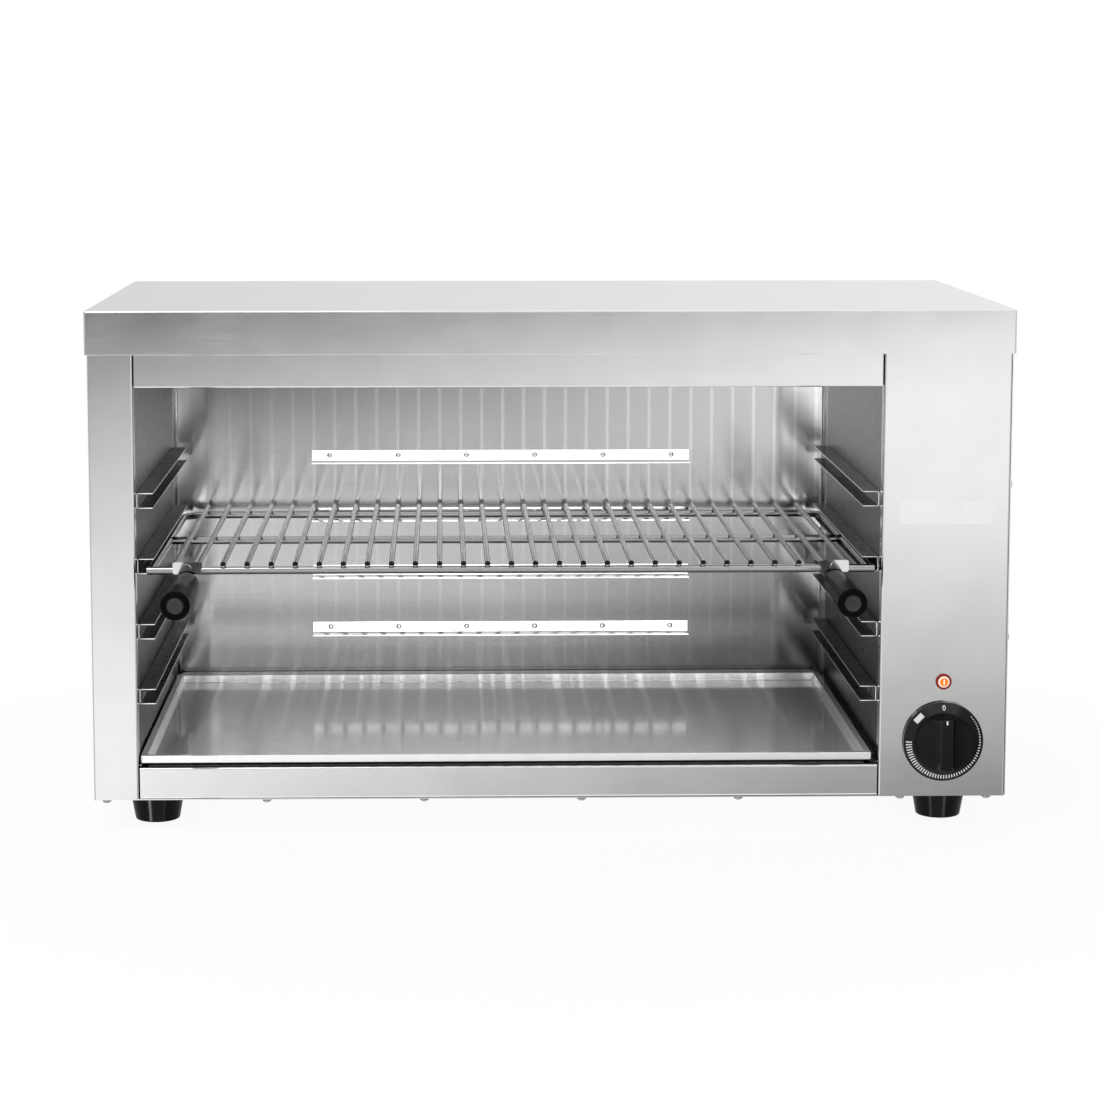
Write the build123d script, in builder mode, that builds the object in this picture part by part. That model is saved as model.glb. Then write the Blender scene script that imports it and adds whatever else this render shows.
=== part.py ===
from build123d import *
import os

# Countertop salamander grill: a folded stainless cabinet, open at the front, with electric elements
# under its roof, four pairs of runners, a pull-out wire rack with two handles, a drip tray, and a
# control panel on the right. All lengths are millimetres.
# Depths are measured from the front faces of the posts towards the back, and heights from the
# underside of the base plate, unless a comment says otherwise.

# Cabinet
cover_width = 800.0
cover_depth = 400.0
cover_skirt = 38.0
cover_corner = 2.2
cover_clearance = 1.0
body_height = 427.0
sheet = 1.0
bend = 1.6
left_post_width = 38.8
control_panel_width = 111.5
post_return = 12.0
panel_side_flange = 20.0
rear_flange = 16.0
bottom_flange = 18.0
bottom_flange_end_gap = 14.0
front_rail_height = 28.5
rail_bottom_flange = 20.0
header_drop = 28.5
header_return = 22.0
rail_gap = 1.2

# Cavity and its liners
rear_space = 18.0
liner_front_gap = 1.0
liner_flange = 14.0
rear_corner_gap = 2.2
floor_wing_gap = 1.5
roof_depth = 40.0
reflector_front_gap = 1.0
reflector_rear_lap = 12.0
ridge_gap = 30.0
ridge_slope_run = 10.0
ridge_rise = 8.0
insulation_top_gap = 6.0
insulation_margin = 3.0

# Back panel
vent_length = 52.0
vent_width = 4.0
vent_spacing = 12.0
vent_rows = 6
control_vent_height = 190.0
cavity_vent_columns = 5
cavity_vent_margin = 102.85
cavity_vent_rows = 2
cavity_vent_drop = 30.5

# Runners and the ledges on the rear liner
runner_levels = 4
runner_lowest = 79.8
runner_spacing = 57.7
runner_height = 13.7
runner_lip = 14.6
runner_front = 24.0
runner_rear_gap = 27.0
ledge_end_gap = 135.35
ledge_upright = 11.7
ledge_reach = 15.0
ledge_drop = 5.0
rivet_count = 6
rivet_end_margin = 17.5
rivet_head_diameter = 5.6
rivet_head_height = 1.3
rivet_shank_diameter = 3.2
rivet_tail = 1.5
rivet_height = 7.0

# Wire rack
runners_below_rack_count = 2
rack_wire = 7.0
rung_wire = 5.0
rack_side_gap = 9.85
rack_offset = 2.0
rack_seat_gap = 0.3
rack_front = 15.0
rack_middle_offset = 3.0
rack_rear_gap = 33.0
rack_corner = 22.0
rung_count = 29
rung_side_margin = 21.1
rung_rear_gap = 18.0
weld_sink = 0.4

# Handles of the rack
bracket_width = 24.5
bracket_thickness = 2.0
bracket_shoulder_drop = 10.5
bracket_corner = 2.0
bracket_tongue_margin = 1.4
bracket_boss_diameter = 9.0
bracket_boss_height = 2.0
bracket_rib_width = 7.5
bracket_rib_height = 1.2
bracket_rib_margin = 2.0
handle_drop = 10.5
handle_length = 110.0
handle_base_diameter = 21.0
handle_end_diameter = 25.0
handle_end_round = 3.2
handle_base_round = 3.5
handle_recess_diameter = 15.0
handle_recess_depth = 1.2
stud_diameter = 6.0
stud_length = 30.0
stud_bore_gap = 0.05
stud_bore_extra = 3.0

# Drip tray
tray_side_gap = 2.85
tray_rear_gap = 17.0
tray_front = 10.0
tray_offset = -2.0
tray_height = 8.2
tray_sheet = 0.8
tray_rim = 5.0
tray_lip = 6.5
tray_corner = 1.6
tray_seat_gap = 0.3

# Heating elements
element_diameter = 8.0
element_count = 3
element_front_margin = 73.0
element_rear_margin = 83.0
element_drop = 13.0
element_end_gap = 22.0
element_tail = 30.0
element_pin_diameter = 4.0
element_pin_length = 14.0
bush_sleeve_diameter = 11.0
bush_flange_diameter = 15.0
bush_flange_thickness = 3.0
bush_inner_reach = 4.0
bush_gap = 0.1
hanger_inset = 58.0
hanger_height = 20.0
hanger_flange = 12.0
hanger_margin = 18.0
hanger_hole_gap = 0.3

# Heat control
knob_height = 49.5
knob_skirt_diameter = 70.0
knob_skirt_thickness = 3.2
knob_cone_rise = 1.8
knob_cone_diameter = 52.0
knob_disc_diameter = 48.0
knob_disc_rise = 9.5
knob_bar_width = 10.5
knob_bar_base_width = 17.0
knob_bar_rise = 7.5
knob_bar_inset = 1.0
knob_panel_gap = 1.2
knob_edge_round = 0.8
knob_pocket_diameter = 24.0
knob_pocket_depth = 6.5
knob_cap = 4.0
regulator_width = 46.0
regulator_height = 44.0
regulator_depth = 34.0
regulator_corner = 3.0
regulator_bush_diameter = 10.0
regulator_bush_reach = 5.0
regulator_nut_size = 14.0
regulator_nut_thickness = 2.5
regulator_tab_count = 5
regulator_tab_spacing = 8.0
regulator_tab_width = 6.3
regulator_tab_thickness = 0.8
regulator_tab_length = 9.0
shaft_diameter = 6.0
shaft_flat = 1.5
shaft_gap = 0.05
shaft_inner_length = 16.0
hole_gap = 0.1

# Pilot lamp
lamp_knob_gap = 10.5
lamp_bezel_diameter = 14.0
lamp_bezel_thickness = 2.2
lamp_barrel_diameter = 10.0
lamp_barrel_length = 26.0
lamp_lens_diameter = 9.0
lamp_lens_depth = 6.0
lamp_lens_dome = 1.4
lamp_lens_gap = 0.05
lamp_clip_diameter = 16.0
lamp_clip_thickness = 1.2

# Mains connection
terminal_width = 62.0
terminal_depth = 26.0
terminal_height = 22.0
terminal_ways = 3
terminal_spacing = 19.0
terminal_bore = 6.0
terminal_rear_gap = 76.0
terminal_edge = 1.5
gland_height = 60.0
gland_thread_diameter = 20.0
gland_hex = 24.0
gland_hex_thickness = 6.0
gland_cap_diameter = 22.0
gland_cap_length = 9.0
gland_cap_round = 3.0
gland_bore = 10.0
gland_inner_length = 9.0
gland_nut_thickness = 5.0

# Feet
foot_height = 28.0
foot_top_diameter = 49.0
foot_bottom_diameter = 39.0
foot_round = 1.5
foot_inset = 50.0
foot_recess_diameter = 15.0
foot_recess_depth = 16.0
foot_bolt_diameter = 6.0
foot_bolt_head_diameter = 12.0
foot_bolt_head_height = 4.0
foot_bolt_above = 8.0
foot_nut_size = 10.0
foot_nut_thickness = 5.0
foot_bolt_gap = 0.2

# Screws of the casing
screw_diameter = 4.0
screw_gap = 0.1
screw_head_diameter = 8.0
screw_head_height = 3.0
screw_length = 8.0
screw_head_taper_angle = 12.0
front_screw_depth = 8.5
post_screw_inset = 10.0
panel_left_screw_inset = 20.5
panel_right_screw_inset = 15.0
rail_screw_count = 4
rail_screw_margin = 115.1
rail_screw_offset = -5.5
side_screw_depth = 7.0
side_screw_head_height = 1.9
side_screw_low = 140.6
side_screw_high = 275.0
back_screw_inset = 8.0
back_screw_lowest = 40.0
back_screw_rows = 4

# Cuts run past the faces that they open by this much
overrun = 2.0

# Places worked out from the sizes above
wall = sheet + cover_clearance
body_width = cover_width - 2 * wall
body_depth = cover_depth - 2 * wall
body_right = body_width / 2
body_left = -body_right
cavity_left = body_left + left_post_width
cavity_right = body_right - control_panel_width
cavity_middle = (cavity_left + cavity_right) / 2
cavity_width = cavity_right - cavity_left
rail_width = cavity_width - 2 * rail_gap
liner_left = cavity_left - sheet
liner_right = cavity_right + sheet
cover_underside = body_height - sheet
header_bottom = body_height - cover_skirt - header_drop
casing_height = cover_underside - sheet
panel_middle = (cavity_right + body_right) / 2
lined_width = liner_right - liner_left + 2 * liner_flange
rear_liner_left = liner_left + rear_corner_gap
rear_liner_right = liner_right - rear_corner_gap
shell_rear = body_depth - sheet
back_face = body_depth
cavity_depth = body_depth - rear_space
liner_rear = cavity_depth + liner_flange
reflector_height = body_height - roof_depth
runner_length = cavity_depth - runner_front - runner_rear_gap
ledge_length = cavity_width - 2 * ledge_end_gap
rack_span = cavity_width - 2 * rack_side_gap
rack_rear = cavity_depth - rack_rear_gap
rack_middle = (rack_front + rack_rear) / 2 + rack_middle_offset
rung_spacing = (rack_span - 2 * rung_side_margin) / (rung_count - 1)
rung_rear_end = cavity_depth - rung_rear_gap
tray_width = cavity_width - 2 * tray_side_gap
tray_depth = cavity_depth - tray_front - tray_rear_gap
rack_middle_x = cavity_middle + rack_offset
rack_lip_top = runner_lowest + runners_below_rack_count * runner_spacing + sheet
rack_height = rack_lip_top + rack_seat_gap + rack_wire / 2
rung_height = rack_height + (rack_wire + rung_wire) / 2 - weld_sink
rack_front_face = rack_front - rack_wire / 2
bracket_front = rack_front_face - bracket_thickness
handle_height = rack_height - handle_drop
handle_base = bracket_front - bracket_boss_height
handle_tip = handle_base - handle_length
handle_x = (rung_count - 2) * rung_spacing / 2
element_height = reflector_height - element_drop
knob_back = -knob_panel_gap
knob_front_of_skirt = knob_back - knob_skirt_thickness - knob_cone_rise
knob_front_of_disc = knob_front_of_skirt - knob_disc_rise
knob_front = knob_front_of_disc - knob_bar_rise
shaft_front = knob_front + knob_cap
lamp_height = knob_height + knob_skirt_diameter / 2 + lamp_knob_gap + lamp_bezel_diameter / 2
gland_rear = back_face + gland_hex_thickness + gland_cap_length
# The part's origin is on the floor, under the middle of its overall box
front_y = -(gland_rear + handle_tip) / 2
element_first = header_return + element_front_margin
element_spacing = (cavity_depth - element_rear_margin - element_first) / (element_count - 1)
element_leg_gap = element_spacing / 2
ridge_base = element_spacing - ridge_gap
ridge_top = ridge_base - 2 * ridge_slope_run
element_depths = [element_first + i * element_spacing for i in range(element_count)]
leg_depths = [d + s * element_leg_gap / 2 for d in element_depths for s in (-1, 1)]
runner_heights = [runner_lowest + i * runner_spacing for i in range(runner_levels)]
foot_places = {
    "front_left": (body_left + foot_inset, foot_inset),
    "front_right": (body_right - foot_inset, foot_inset),
    "rear_left": (body_left + foot_inset, body_depth - foot_inset),
    "rear_right": (body_right - foot_inset, body_depth - foot_inset),
}
rail_screw_spacing = (rail_width - 2 * rail_screw_margin) / (rail_screw_count - 1)
rail_screws = [
    cavity_middle + rail_screw_offset + (i - (rail_screw_count - 1) / 2) * rail_screw_spacing
    for i in range(rail_screw_count)
]
post_screws = [body_left + post_screw_inset]
panel_screws = [cavity_right + panel_left_screw_inset, body_right - panel_right_screw_inset]
side_screws_at = [side_screw_low, side_screw_high]
back_screw_spacing = (header_bottom - back_screw_lowest) / (back_screw_rows - 1)
back_screws_at = [back_screw_lowest + i * back_screw_spacing for i in range(back_screw_rows)]
rivet_spacing = (ledge_length - 2 * rivet_end_margin) / (rivet_count - 1)
rivet_places = [
    cavity_middle + (i - (rivet_count - 1) / 2) * rivet_spacing for i in range(rivet_count)
]
insulation_bottom = reflector_height + ridge_rise + sheet
insulation_thickness = cover_underside - insulation_top_gap - insulation_bottom
cavity_vent_spacing = (cavity_width - 2 * cavity_vent_margin) / (cavity_vent_columns - 1)
terminal_place = body_depth - terminal_rear_gap


def plan(height):
    """Level sketch plane at a height: sketches use (x, depth), and extrude upwards."""
    return Plane(origin=(0, front_y, foot_height + height), x_dir=(1, 0, 0), z_dir=(0, 0, 1))


def upright(depth):
    """Upright plane facing the user at a depth: sketches use (x, height), and extrude forwards."""
    return Plane(origin=(0, front_y + depth, foot_height), x_dir=(1, 0, 0), z_dir=(0, -1, 0))


def endways(x):
    """Upright plane across the width at x: sketches use (depth, height), and extrude to the right."""
    return Plane(origin=(x, front_y, foot_height), x_dir=(0, 1, 0), z_dir=(1, 0, 0))


def fold(plane, corners, inside, length):
    """Add one sheet folded along the corners of its outer face, as long as length."""
    with BuildSketch(plane) as section:
        with BuildLine():
            FilletPolyline(*corners, radius=bend)
            offset(amount=sheet, side=inside)
        make_face()
    extrude(section.sketch, amount=length)


def flat(plane, low, high, thickness, mode=Mode.ADD):
    """Add or cut a flat rectangle between two corners of a plane."""
    with BuildSketch(plane) as area:
        with Locations(((low[0] + high[0]) / 2, (low[1] + high[1]) / 2)):
            Rectangle(high[0] - low[0], high[1] - low[1])
    extrude(area.sketch, amount=thickness, mode=mode)


def drill(plane, places, diameter, depth):
    """Cut round holes at places on a plane, going from the plane along its direction."""
    with BuildSketch(plane) as holes:
        with Locations(*places):
            Circle(diameter / 2)
    extrude(holes.sketch, amount=depth, mode=Mode.SUBTRACT)


def pan_screw(plane, places, length, head_height):
    """Add pan head screws whose heads sit on a plane, with shanks along its direction."""
    with BuildSketch(plane) as shanks:
        with Locations(*places):
            Circle(screw_diameter / 2)
    extrude(shanks.sketch, amount=length)
    with BuildSketch(plane) as heads:
        with Locations(*places):
            Circle(screw_head_diameter / 2)
    extrude(heads.sketch, amount=-head_height, taper=screw_head_taper_angle)


def save(part, name):
    """Label a finished piece and write it to its file."""
    part.label = name
    export_step(part, f"parts/{name}.step")


os.makedirs("parts", exist_ok=True)

# Top cover: a shallow pan upside down, resting on the top edges of the casing
with BuildPart() as top_cover:
    with BuildSketch(plan(body_height - cover_skirt)):
        with Locations((0, cover_depth / 2 - wall)):
            Rectangle(cover_width, cover_depth)
    extrude(amount=cover_skirt)
    fillet(top_cover.edges().filter_by(Axis.Z), radius=cover_corner)
    fillet(top_cover.faces().sort_by(Axis.Z)[-1].edges(), radius=bend)
    offset(amount=-sheet, openings=top_cover.faces().sort_by(Axis.Z)[0])
save(top_cover.part, "top_cover")

# Left casing: side, front post with its folded inner edge, and a fold at the back for the back panel
with BuildPart() as left_casing:
    fold(
        plan(sheet),
        [
            (cavity_left, post_return),
            (cavity_left, 0),
            (body_left, 0),
            (body_left, shell_rear),
            (body_left + rear_flange, shell_rear),
        ],
        Side.RIGHT,
        casing_height,
    )
    flat(
        plan(sheet),
        (body_left + sheet / 2, sheet / 2),
        (cavity_left - sheet / 2, post_return),
        sheet,
    )
    flat(
        plan(sheet),
        (body_left + sheet / 2, post_return),
        (body_left + bottom_flange, shell_rear - bottom_flange_end_gap),
        sheet,
    )
    drill(plan(0), [(x, front_screw_depth) for x in post_screws], screw_diameter + 2 * screw_gap,
          2 * sheet + overrun)
    drill(upright(body_depth), [(body_left + back_screw_inset, h) for h in back_screws_at],
          screw_diameter + 2 * screw_gap, 2 * sheet + overrun)
save(left_casing.part, "left_casing")

# Right casing: the right side sheet, folded at the back and along the bottom
with BuildPart() as right_casing:
    fold(
        plan(sheet),
        [
            (body_right, 0),
            (body_right, shell_rear),
            (body_right - rear_flange, shell_rear),
        ],
        Side.LEFT,
        casing_height,
    )
    flat(
        plan(sheet),
        (body_right - bottom_flange, panel_side_flange + bottom_flange_end_gap),
        (body_right - sheet / 2, shell_rear - bottom_flange_end_gap),
        sheet,
    )
    drill(endways(body_right - sheet), [(side_screw_depth, h) for h in side_screws_at],
          screw_diameter + 2 * screw_gap, sheet + overrun)
    drill(upright(body_depth), [(body_right - back_screw_inset, h) for h in back_screws_at],
          screw_diameter + 2 * screw_gap, 2 * sheet + overrun)
save(right_casing.part, "right_casing")

# Control panel: front face, folded edge towards the cavity, side fold under the right side sheet
with BuildPart() as control_panel:
    fold(
        plan(sheet),
        [
            (cavity_right, post_return),
            (cavity_right, 0),
            (body_right - sheet, 0),
            (body_right - sheet, panel_side_flange),
        ],
        Side.LEFT,
        casing_height,
    )
    flat(
        plan(sheet),
        (cavity_right + sheet / 2, sheet / 2),
        (body_right - sheet - sheet / 2, post_return),
        sheet,
    )
    drill(plan(0), [(x, front_screw_depth) for x in panel_screws], screw_diameter + 2 * screw_gap,
          2 * sheet + overrun)
    drill(endways(body_right - 2 * sheet), [(side_screw_depth, h) for h in side_screws_at],
          screw_diameter + 2 * screw_gap, sheet)
    drill(upright(sheet), [(panel_middle, knob_height)], regulator_bush_diameter + 2 * hole_gap, sheet)
    drill(upright(sheet), [(panel_middle, lamp_height)], lamp_barrel_diameter + 2 * hole_gap, sheet)
save(control_panel.part, "control_panel")

# Header rail: closes the front above the cavity, folded back under the cover and under the roof
with BuildPart() as header_rail:
    fold(
        endways(cavity_left + rail_gap),
        [
            (header_return, cover_underside),
            (0, cover_underside),
            (0, header_bottom),
            (header_return, header_bottom),
            (header_return, reflector_height),
        ],
        Side.LEFT,
        rail_width,
    )
save(header_rail.part, "header_rail")

# Cavity floor: the floor and the front rail are one sheet, wider behind the posts to carry the liners
with BuildPart() as cavity_floor:
    fold(
        endways(cavity_left + rail_gap),
        [
            (rail_bottom_flange, sheet),
            (0, sheet),
            (0, front_rail_height),
            (cavity_depth, front_rail_height),
        ],
        Side.RIGHT,
        rail_width,
    )
    flat(
        plan(front_rail_height - sheet),
        (liner_left - liner_flange, post_return + floor_wing_gap),
        (liner_right + liner_flange, cavity_depth),
        sheet,
    )
    drill(plan(0), [(x, front_screw_depth) for x in rail_screws], screw_diameter + 2 * screw_gap,
          2 * sheet + overrun)
save(cavity_floor.part, "cavity_floor")

# Base plate: everything stands on it; screws come up through it, and it breathes under the controls
with BuildPart() as base_plate:
    with BuildSketch(plan(0)):
        with Locations((0, body_depth / 2)):
            RectangleRounded(body_width, body_depth, bend)
        with Locations(*foot_places.values()):
            Circle(foot_bolt_diameter / 2 + foot_bolt_gap, mode=Mode.SUBTRACT)
        with Locations(*[(x, front_screw_depth) for x in post_screws + rail_screws + panel_screws]):
            Circle(screw_diameter / 2 + screw_gap, mode=Mode.SUBTRACT)
        with Locations((panel_middle, body_depth / 2)):
            with GridLocations(0, vent_spacing, 1, vent_rows):
                SlotOverall(vent_length, vent_width, mode=Mode.SUBTRACT)
    extrude(amount=sheet)
save(base_plate.part, "base_plate")

# Side liners: folded outwards at top and bottom, so that the roof rests on them, and running on past
# the rear liner
for side_name, face_x, out in (("left_liner", liner_left, -1), ("right_liner", liner_right, 1)):
    with BuildPart() as side_liner:
        fold(
            upright(liner_rear),
            [
                (face_x + out * liner_flange, reflector_height),
                (face_x, reflector_height),
                (face_x, front_rail_height),
                (face_x + out * liner_flange, front_rail_height),
            ],
            Side.RIGHT if out < 0 else Side.LEFT,
            liner_rear - sheet - liner_front_gap,
        )
        if out > 0:
            drill(endways(face_x), [(d, element_height) for d in leg_depths],
                  bush_sleeve_diameter + 2 * bush_gap, sheet)
    save(side_liner.part, side_name)

# Rear liner: stands on the base plate and carries the back edge of the roof; its sides are folded
# backwards, with an open gap to each side liner
with BuildPart() as rear_liner:
    fold(
        plan(sheet),
        [
            (rear_liner_left, liner_rear),
            (rear_liner_left, cavity_depth),
            (rear_liner_right, cavity_depth),
            (rear_liner_right, liner_rear),
        ],
        Side.LEFT,
        reflector_height - sheet,
    )
    rivet_holes = [(x, h - ledge_drop + rivet_height) for h in runner_heights for x in rivet_places]
    drill(upright(cavity_depth), rivet_holes, rivet_shank_diameter + 2 * hole_gap, -sheet)
save(rear_liner.part, "rear_liner")

# Roof reflector: one ridge above each element, flat between them
with BuildPart() as roof_reflector:
    roof_line = [(header_return + reflector_front_gap, reflector_height)]
    for depth in element_depths:
        roof_line += [
            (depth - ridge_base / 2, reflector_height),
            (depth - ridge_top / 2, reflector_height + ridge_rise),
            (depth + ridge_top / 2, reflector_height + ridge_rise),
            (depth + ridge_base / 2, reflector_height),
        ]
    roof_line += [(cavity_depth + reflector_rear_lap, reflector_height)]
    fold(endways(liner_left - liner_flange), roof_line, Side.LEFT, lined_width)
save(roof_reflector.part, "roof_reflector")

# Roof insulation: a slab lying on the ridges, under the cover
with BuildPart() as roof_insulation:
    flat(
        plan(insulation_bottom),
        (cavity_left + insulation_margin, header_return + insulation_margin),
        (cavity_right - insulation_margin, cavity_depth - insulation_margin),
        insulation_thickness,
    )
save(roof_insulation.part, "roof_insulation")

# Back panel: vents behind the controls and near the top, and a round hole for the cable gland
with BuildPart() as back_panel:
    with BuildSketch(upright(body_depth)):
        with Locations((0, sheet + casing_height / 2)):
            Rectangle(body_width, casing_height)
        with Locations((panel_middle, control_vent_height)):
            with GridLocations(0, vent_spacing, 1, vent_rows):
                SlotOverall(vent_length, vent_width, mode=Mode.SUBTRACT)
        with Locations((cavity_middle, header_bottom - cavity_vent_drop)):
            with GridLocations(cavity_vent_spacing, vent_spacing, cavity_vent_columns, cavity_vent_rows):
                SlotOverall(vent_length, vent_width, mode=Mode.SUBTRACT)
        with Locations((panel_middle, gland_height)):
            Circle(gland_thread_diameter / 2 + hole_gap, mode=Mode.SUBTRACT)
        back_screw_xs = (body_left + back_screw_inset, body_right - back_screw_inset)
        with Locations(*[(x, h) for x in back_screw_xs for h in back_screws_at]):
            Circle(screw_diameter / 2 + screw_gap, mode=Mode.SUBTRACT)
    extrude(amount=sheet)
save(back_panel.part, "back_panel")

# Runners: channels welded to the side liners, open towards the cavity
for side_name, face_x, inwards in (("left", liner_left, 1), ("right", liner_right, -1)):
    for number, height in enumerate(runner_heights, start=1):
        with BuildPart() as runner:
            fold(
                upright(runner_front + runner_length),
                [
                    (face_x + inwards * runner_lip, height),
                    (face_x, height),
                    (face_x, height + runner_height),
                    (face_x + inwards * runner_lip, height + runner_height),
                ],
                Side.RIGHT if inwards > 0 else Side.LEFT,
                runner_length,
            )
        save(runner.part, f"runner_{side_name}_{number}")

# Rear ledges: angle strips riveted to the rear liner behind each pair of runners
for number, height in enumerate(runner_heights, start=1):
    with BuildPart() as ledge:
        fold(
            endways(cavity_middle - ledge_length / 2),
            [
                (cavity_depth, height - ledge_drop + ledge_upright),
                (cavity_depth, height - ledge_drop),
                (cavity_depth - ledge_reach, height - ledge_drop),
            ],
            Side.RIGHT,
            ledge_length,
        )
        drill(upright(cavity_depth), [(x, height - ledge_drop + rivet_height) for x in rivet_places],
              rivet_shank_diameter + 2 * hole_gap, sheet)
    save(ledge.part, f"rear_ledge_{number}")

with BuildPart() as ledge_rivets:
    with BuildSketch(upright(cavity_depth - sheet)):
        with Locations(*rivet_holes):
            Circle(rivet_head_diameter / 2)
    extrude(amount=rivet_head_height)
    with BuildSketch(upright(cavity_depth - sheet)):
        with Locations(*rivet_holes):
            Circle(rivet_shank_diameter / 2)
    extrude(amount=-2 * sheet - rivet_tail)
save(ledge_rivets.part, "ledge_rivets")

# Wire rack: straight front bar, U-shaped frame, one cross wire and the rungs, all welded together
with BuildPart() as wire_rack:
    left_wire = rack_middle_x - rack_span / 2
    right_wire = rack_middle_x + rack_span / 2
    with BuildLine(plan(rack_height)) as frame_path:
        FilletPolyline(
            (left_wire, rack_front),
            (left_wire, rack_rear),
            (right_wire, rack_rear),
            (right_wire, rack_front),
            radius=rack_corner,
        )
    with BuildSketch(upright(rack_front)) as frame_section:
        with Locations((left_wire, rack_height)):
            Circle(rack_wire / 2)
    sweep(frame_section.sketch, path=frame_path.line)
    with BuildSketch(endways(left_wire - rack_wire / 2)) as bar_section:
        with Locations((rack_front, rack_height)):
            Circle(rack_wire / 2)
    extrude(bar_section.sketch, amount=rack_span + rack_wire)
    with BuildSketch(endways(left_wire)) as cross_section:
        with Locations((rack_middle, rack_height)):
            Circle(rack_wire / 2)
    extrude(cross_section.sketch, amount=rack_span)
    with BuildSketch(upright(rung_rear_end)) as rung_section:
        with Locations((rack_middle_x, rung_height)):
            with GridLocations(rung_spacing, 0, rung_count, 1):
                Circle(rung_wire / 2)
    extrude(rung_section.sketch, amount=rung_rear_end - rack_front_face)
save(wire_rack.part, "wire_rack")

# Handle brackets, handles and the studs inside them
bracket_top = rung_height + rung_wire / 2
bracket_shoulder = bracket_top - bracket_shoulder_drop
tongue_radius = handle_base_diameter / 2 - bracket_tongue_margin
rib_length = bracket_top - bracket_rib_margin - handle_height + bracket_rib_width / 2
rib_middle = bracket_top - bracket_rib_margin - rib_length / 2
for side_name, side in (("left", -1), ("right", 1)):
    x = rack_middle_x + side * handle_x
    with BuildPart() as handle_bracket:
        with BuildSketch(upright(rack_front_face)):
            with Locations((x, (bracket_top + bracket_shoulder) / 2)):
                RectangleRounded(bracket_width, bracket_shoulder_drop, bracket_corner)
            with Locations((x, handle_height)):
                Circle(tongue_radius)
        extrude(amount=bracket_thickness)
        with BuildSketch(upright(bracket_front)):
            with Locations((x, handle_height)):
                Circle(bracket_boss_diameter / 2)
        extrude(amount=bracket_boss_height)
        with BuildSketch(upright(bracket_front)):
            with Locations((x, rib_middle)):
                SlotOverall(rib_length, bracket_rib_width, rotation=90)
        extrude(amount=bracket_rib_height)
    save(handle_bracket.part, f"handle_bracket_{side_name}")

    with BuildPart() as rack_handle:
        with BuildSketch(endways(x)):
            with BuildLine():
                Polyline(
                    (handle_base, handle_height),
                    (handle_base, handle_height + handle_base_diameter / 2),
                    (handle_tip, handle_height + handle_end_diameter / 2),
                    (handle_tip, handle_height),
                    close=True,
                )
            make_face()
        handle_axis = Axis((x, front_y, foot_height + handle_height), (0, 1, 0))
        revolve(axis=handle_axis)
        rims = rack_handle.edges().filter_by(GeomType.CIRCLE).sort_by(Axis.Y)
        fillet(rims[0], radius=handle_end_round)
        fillet(rims[-1], radius=handle_base_round)
        drill(upright(handle_tip + handle_recess_depth), [(x, handle_height)],
              handle_recess_diameter, handle_recess_depth)
        drill(upright(handle_base), [(x, handle_height)], stud_diameter + 2 * stud_bore_gap,
              stud_length + stud_bore_extra)
    save(rack_handle.part, f"rack_handle_{side_name}")

with BuildPart() as handle_studs:
    with BuildSketch(upright(handle_base)):
        with Locations(*[(rack_middle_x + side * handle_x, handle_height) for side in (-1, 1)]):
            Circle(stud_diameter / 2)
    extrude(amount=stud_length)
save(handle_studs.part, "handle_studs")

# Drip tray: a shallow pan whose rim is folded outwards and down
with BuildPart() as drip_tray:
    tray_centre = (cavity_middle + tray_offset, tray_front + tray_depth / 2)
    tray_bottom = front_rail_height + tray_seat_gap
    pan_width = tray_width - 2 * tray_rim
    pan_depth = tray_depth - 2 * tray_rim
    with BuildSketch(plan(tray_bottom)):
        with Locations(tray_centre):
            RectangleRounded(pan_width, pan_depth, tray_corner)
    extrude(amount=tray_height)
    fillet(drip_tray.faces().sort_by(Axis.Z)[0].edges(), radius=bend)
    offset(amount=-tray_sheet, openings=drip_tray.faces().sort_by(Axis.Z)[-1])
    with BuildSketch(plan(tray_bottom + tray_height)):
        with Locations(tray_centre):
            RectangleRounded(tray_width, tray_depth, tray_corner)
            RectangleRounded(pan_width - 2 * tray_sheet, pan_depth - 2 * tray_sheet,
                             tray_corner - tray_sheet, mode=Mode.SUBTRACT)
    extrude(amount=-tray_sheet)
    with BuildSketch(plan(tray_bottom + tray_height)):
        with Locations(tray_centre):
            RectangleRounded(tray_width, tray_depth, tray_corner)
            RectangleRounded(tray_width - 2 * tray_sheet, tray_depth - 2 * tray_sheet,
                             tray_corner - tray_sheet, mode=Mode.SUBTRACT)
    extrude(amount=-tray_lip)
    rim_top = drip_tray.faces().sort_by(Axis.Z)[-1]
    fillet(rim_top.outer_wire().edges(), radius=tray_sheet / 2)
save(drip_tray.part, "drip_tray")

# Heating elements: hairpins whose two ends pass through the right liner
element_right = liner_right + sheet + element_tail
element_left = cavity_left + element_end_gap + element_leg_gap / 2
for number, depth in enumerate(element_depths, start=1):
    near = depth - element_leg_gap / 2
    far = depth + element_leg_gap / 2
    with BuildPart() as heating_element:
        with BuildLine(plan(element_height)) as hairpin:
            Line((element_right, near), (element_left, near))
            RadiusArc((element_left, near), (element_left, far), element_leg_gap / 2)
            Line((element_left, far), (element_right, far))
        with BuildSketch(endways(element_right)) as tube_section:
            with Locations((near, element_height)):
                Circle(element_diameter / 2)
        sweep(tube_section.sketch, path=hairpin.line)
        with BuildSketch(endways(element_right)) as pins:
            with Locations((near, element_height), (far, element_height)):
                Circle(element_pin_diameter / 2)
        extrude(pins.sketch, amount=element_pin_length)
    save(heating_element.part, f"heating_element_{number}")

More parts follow.
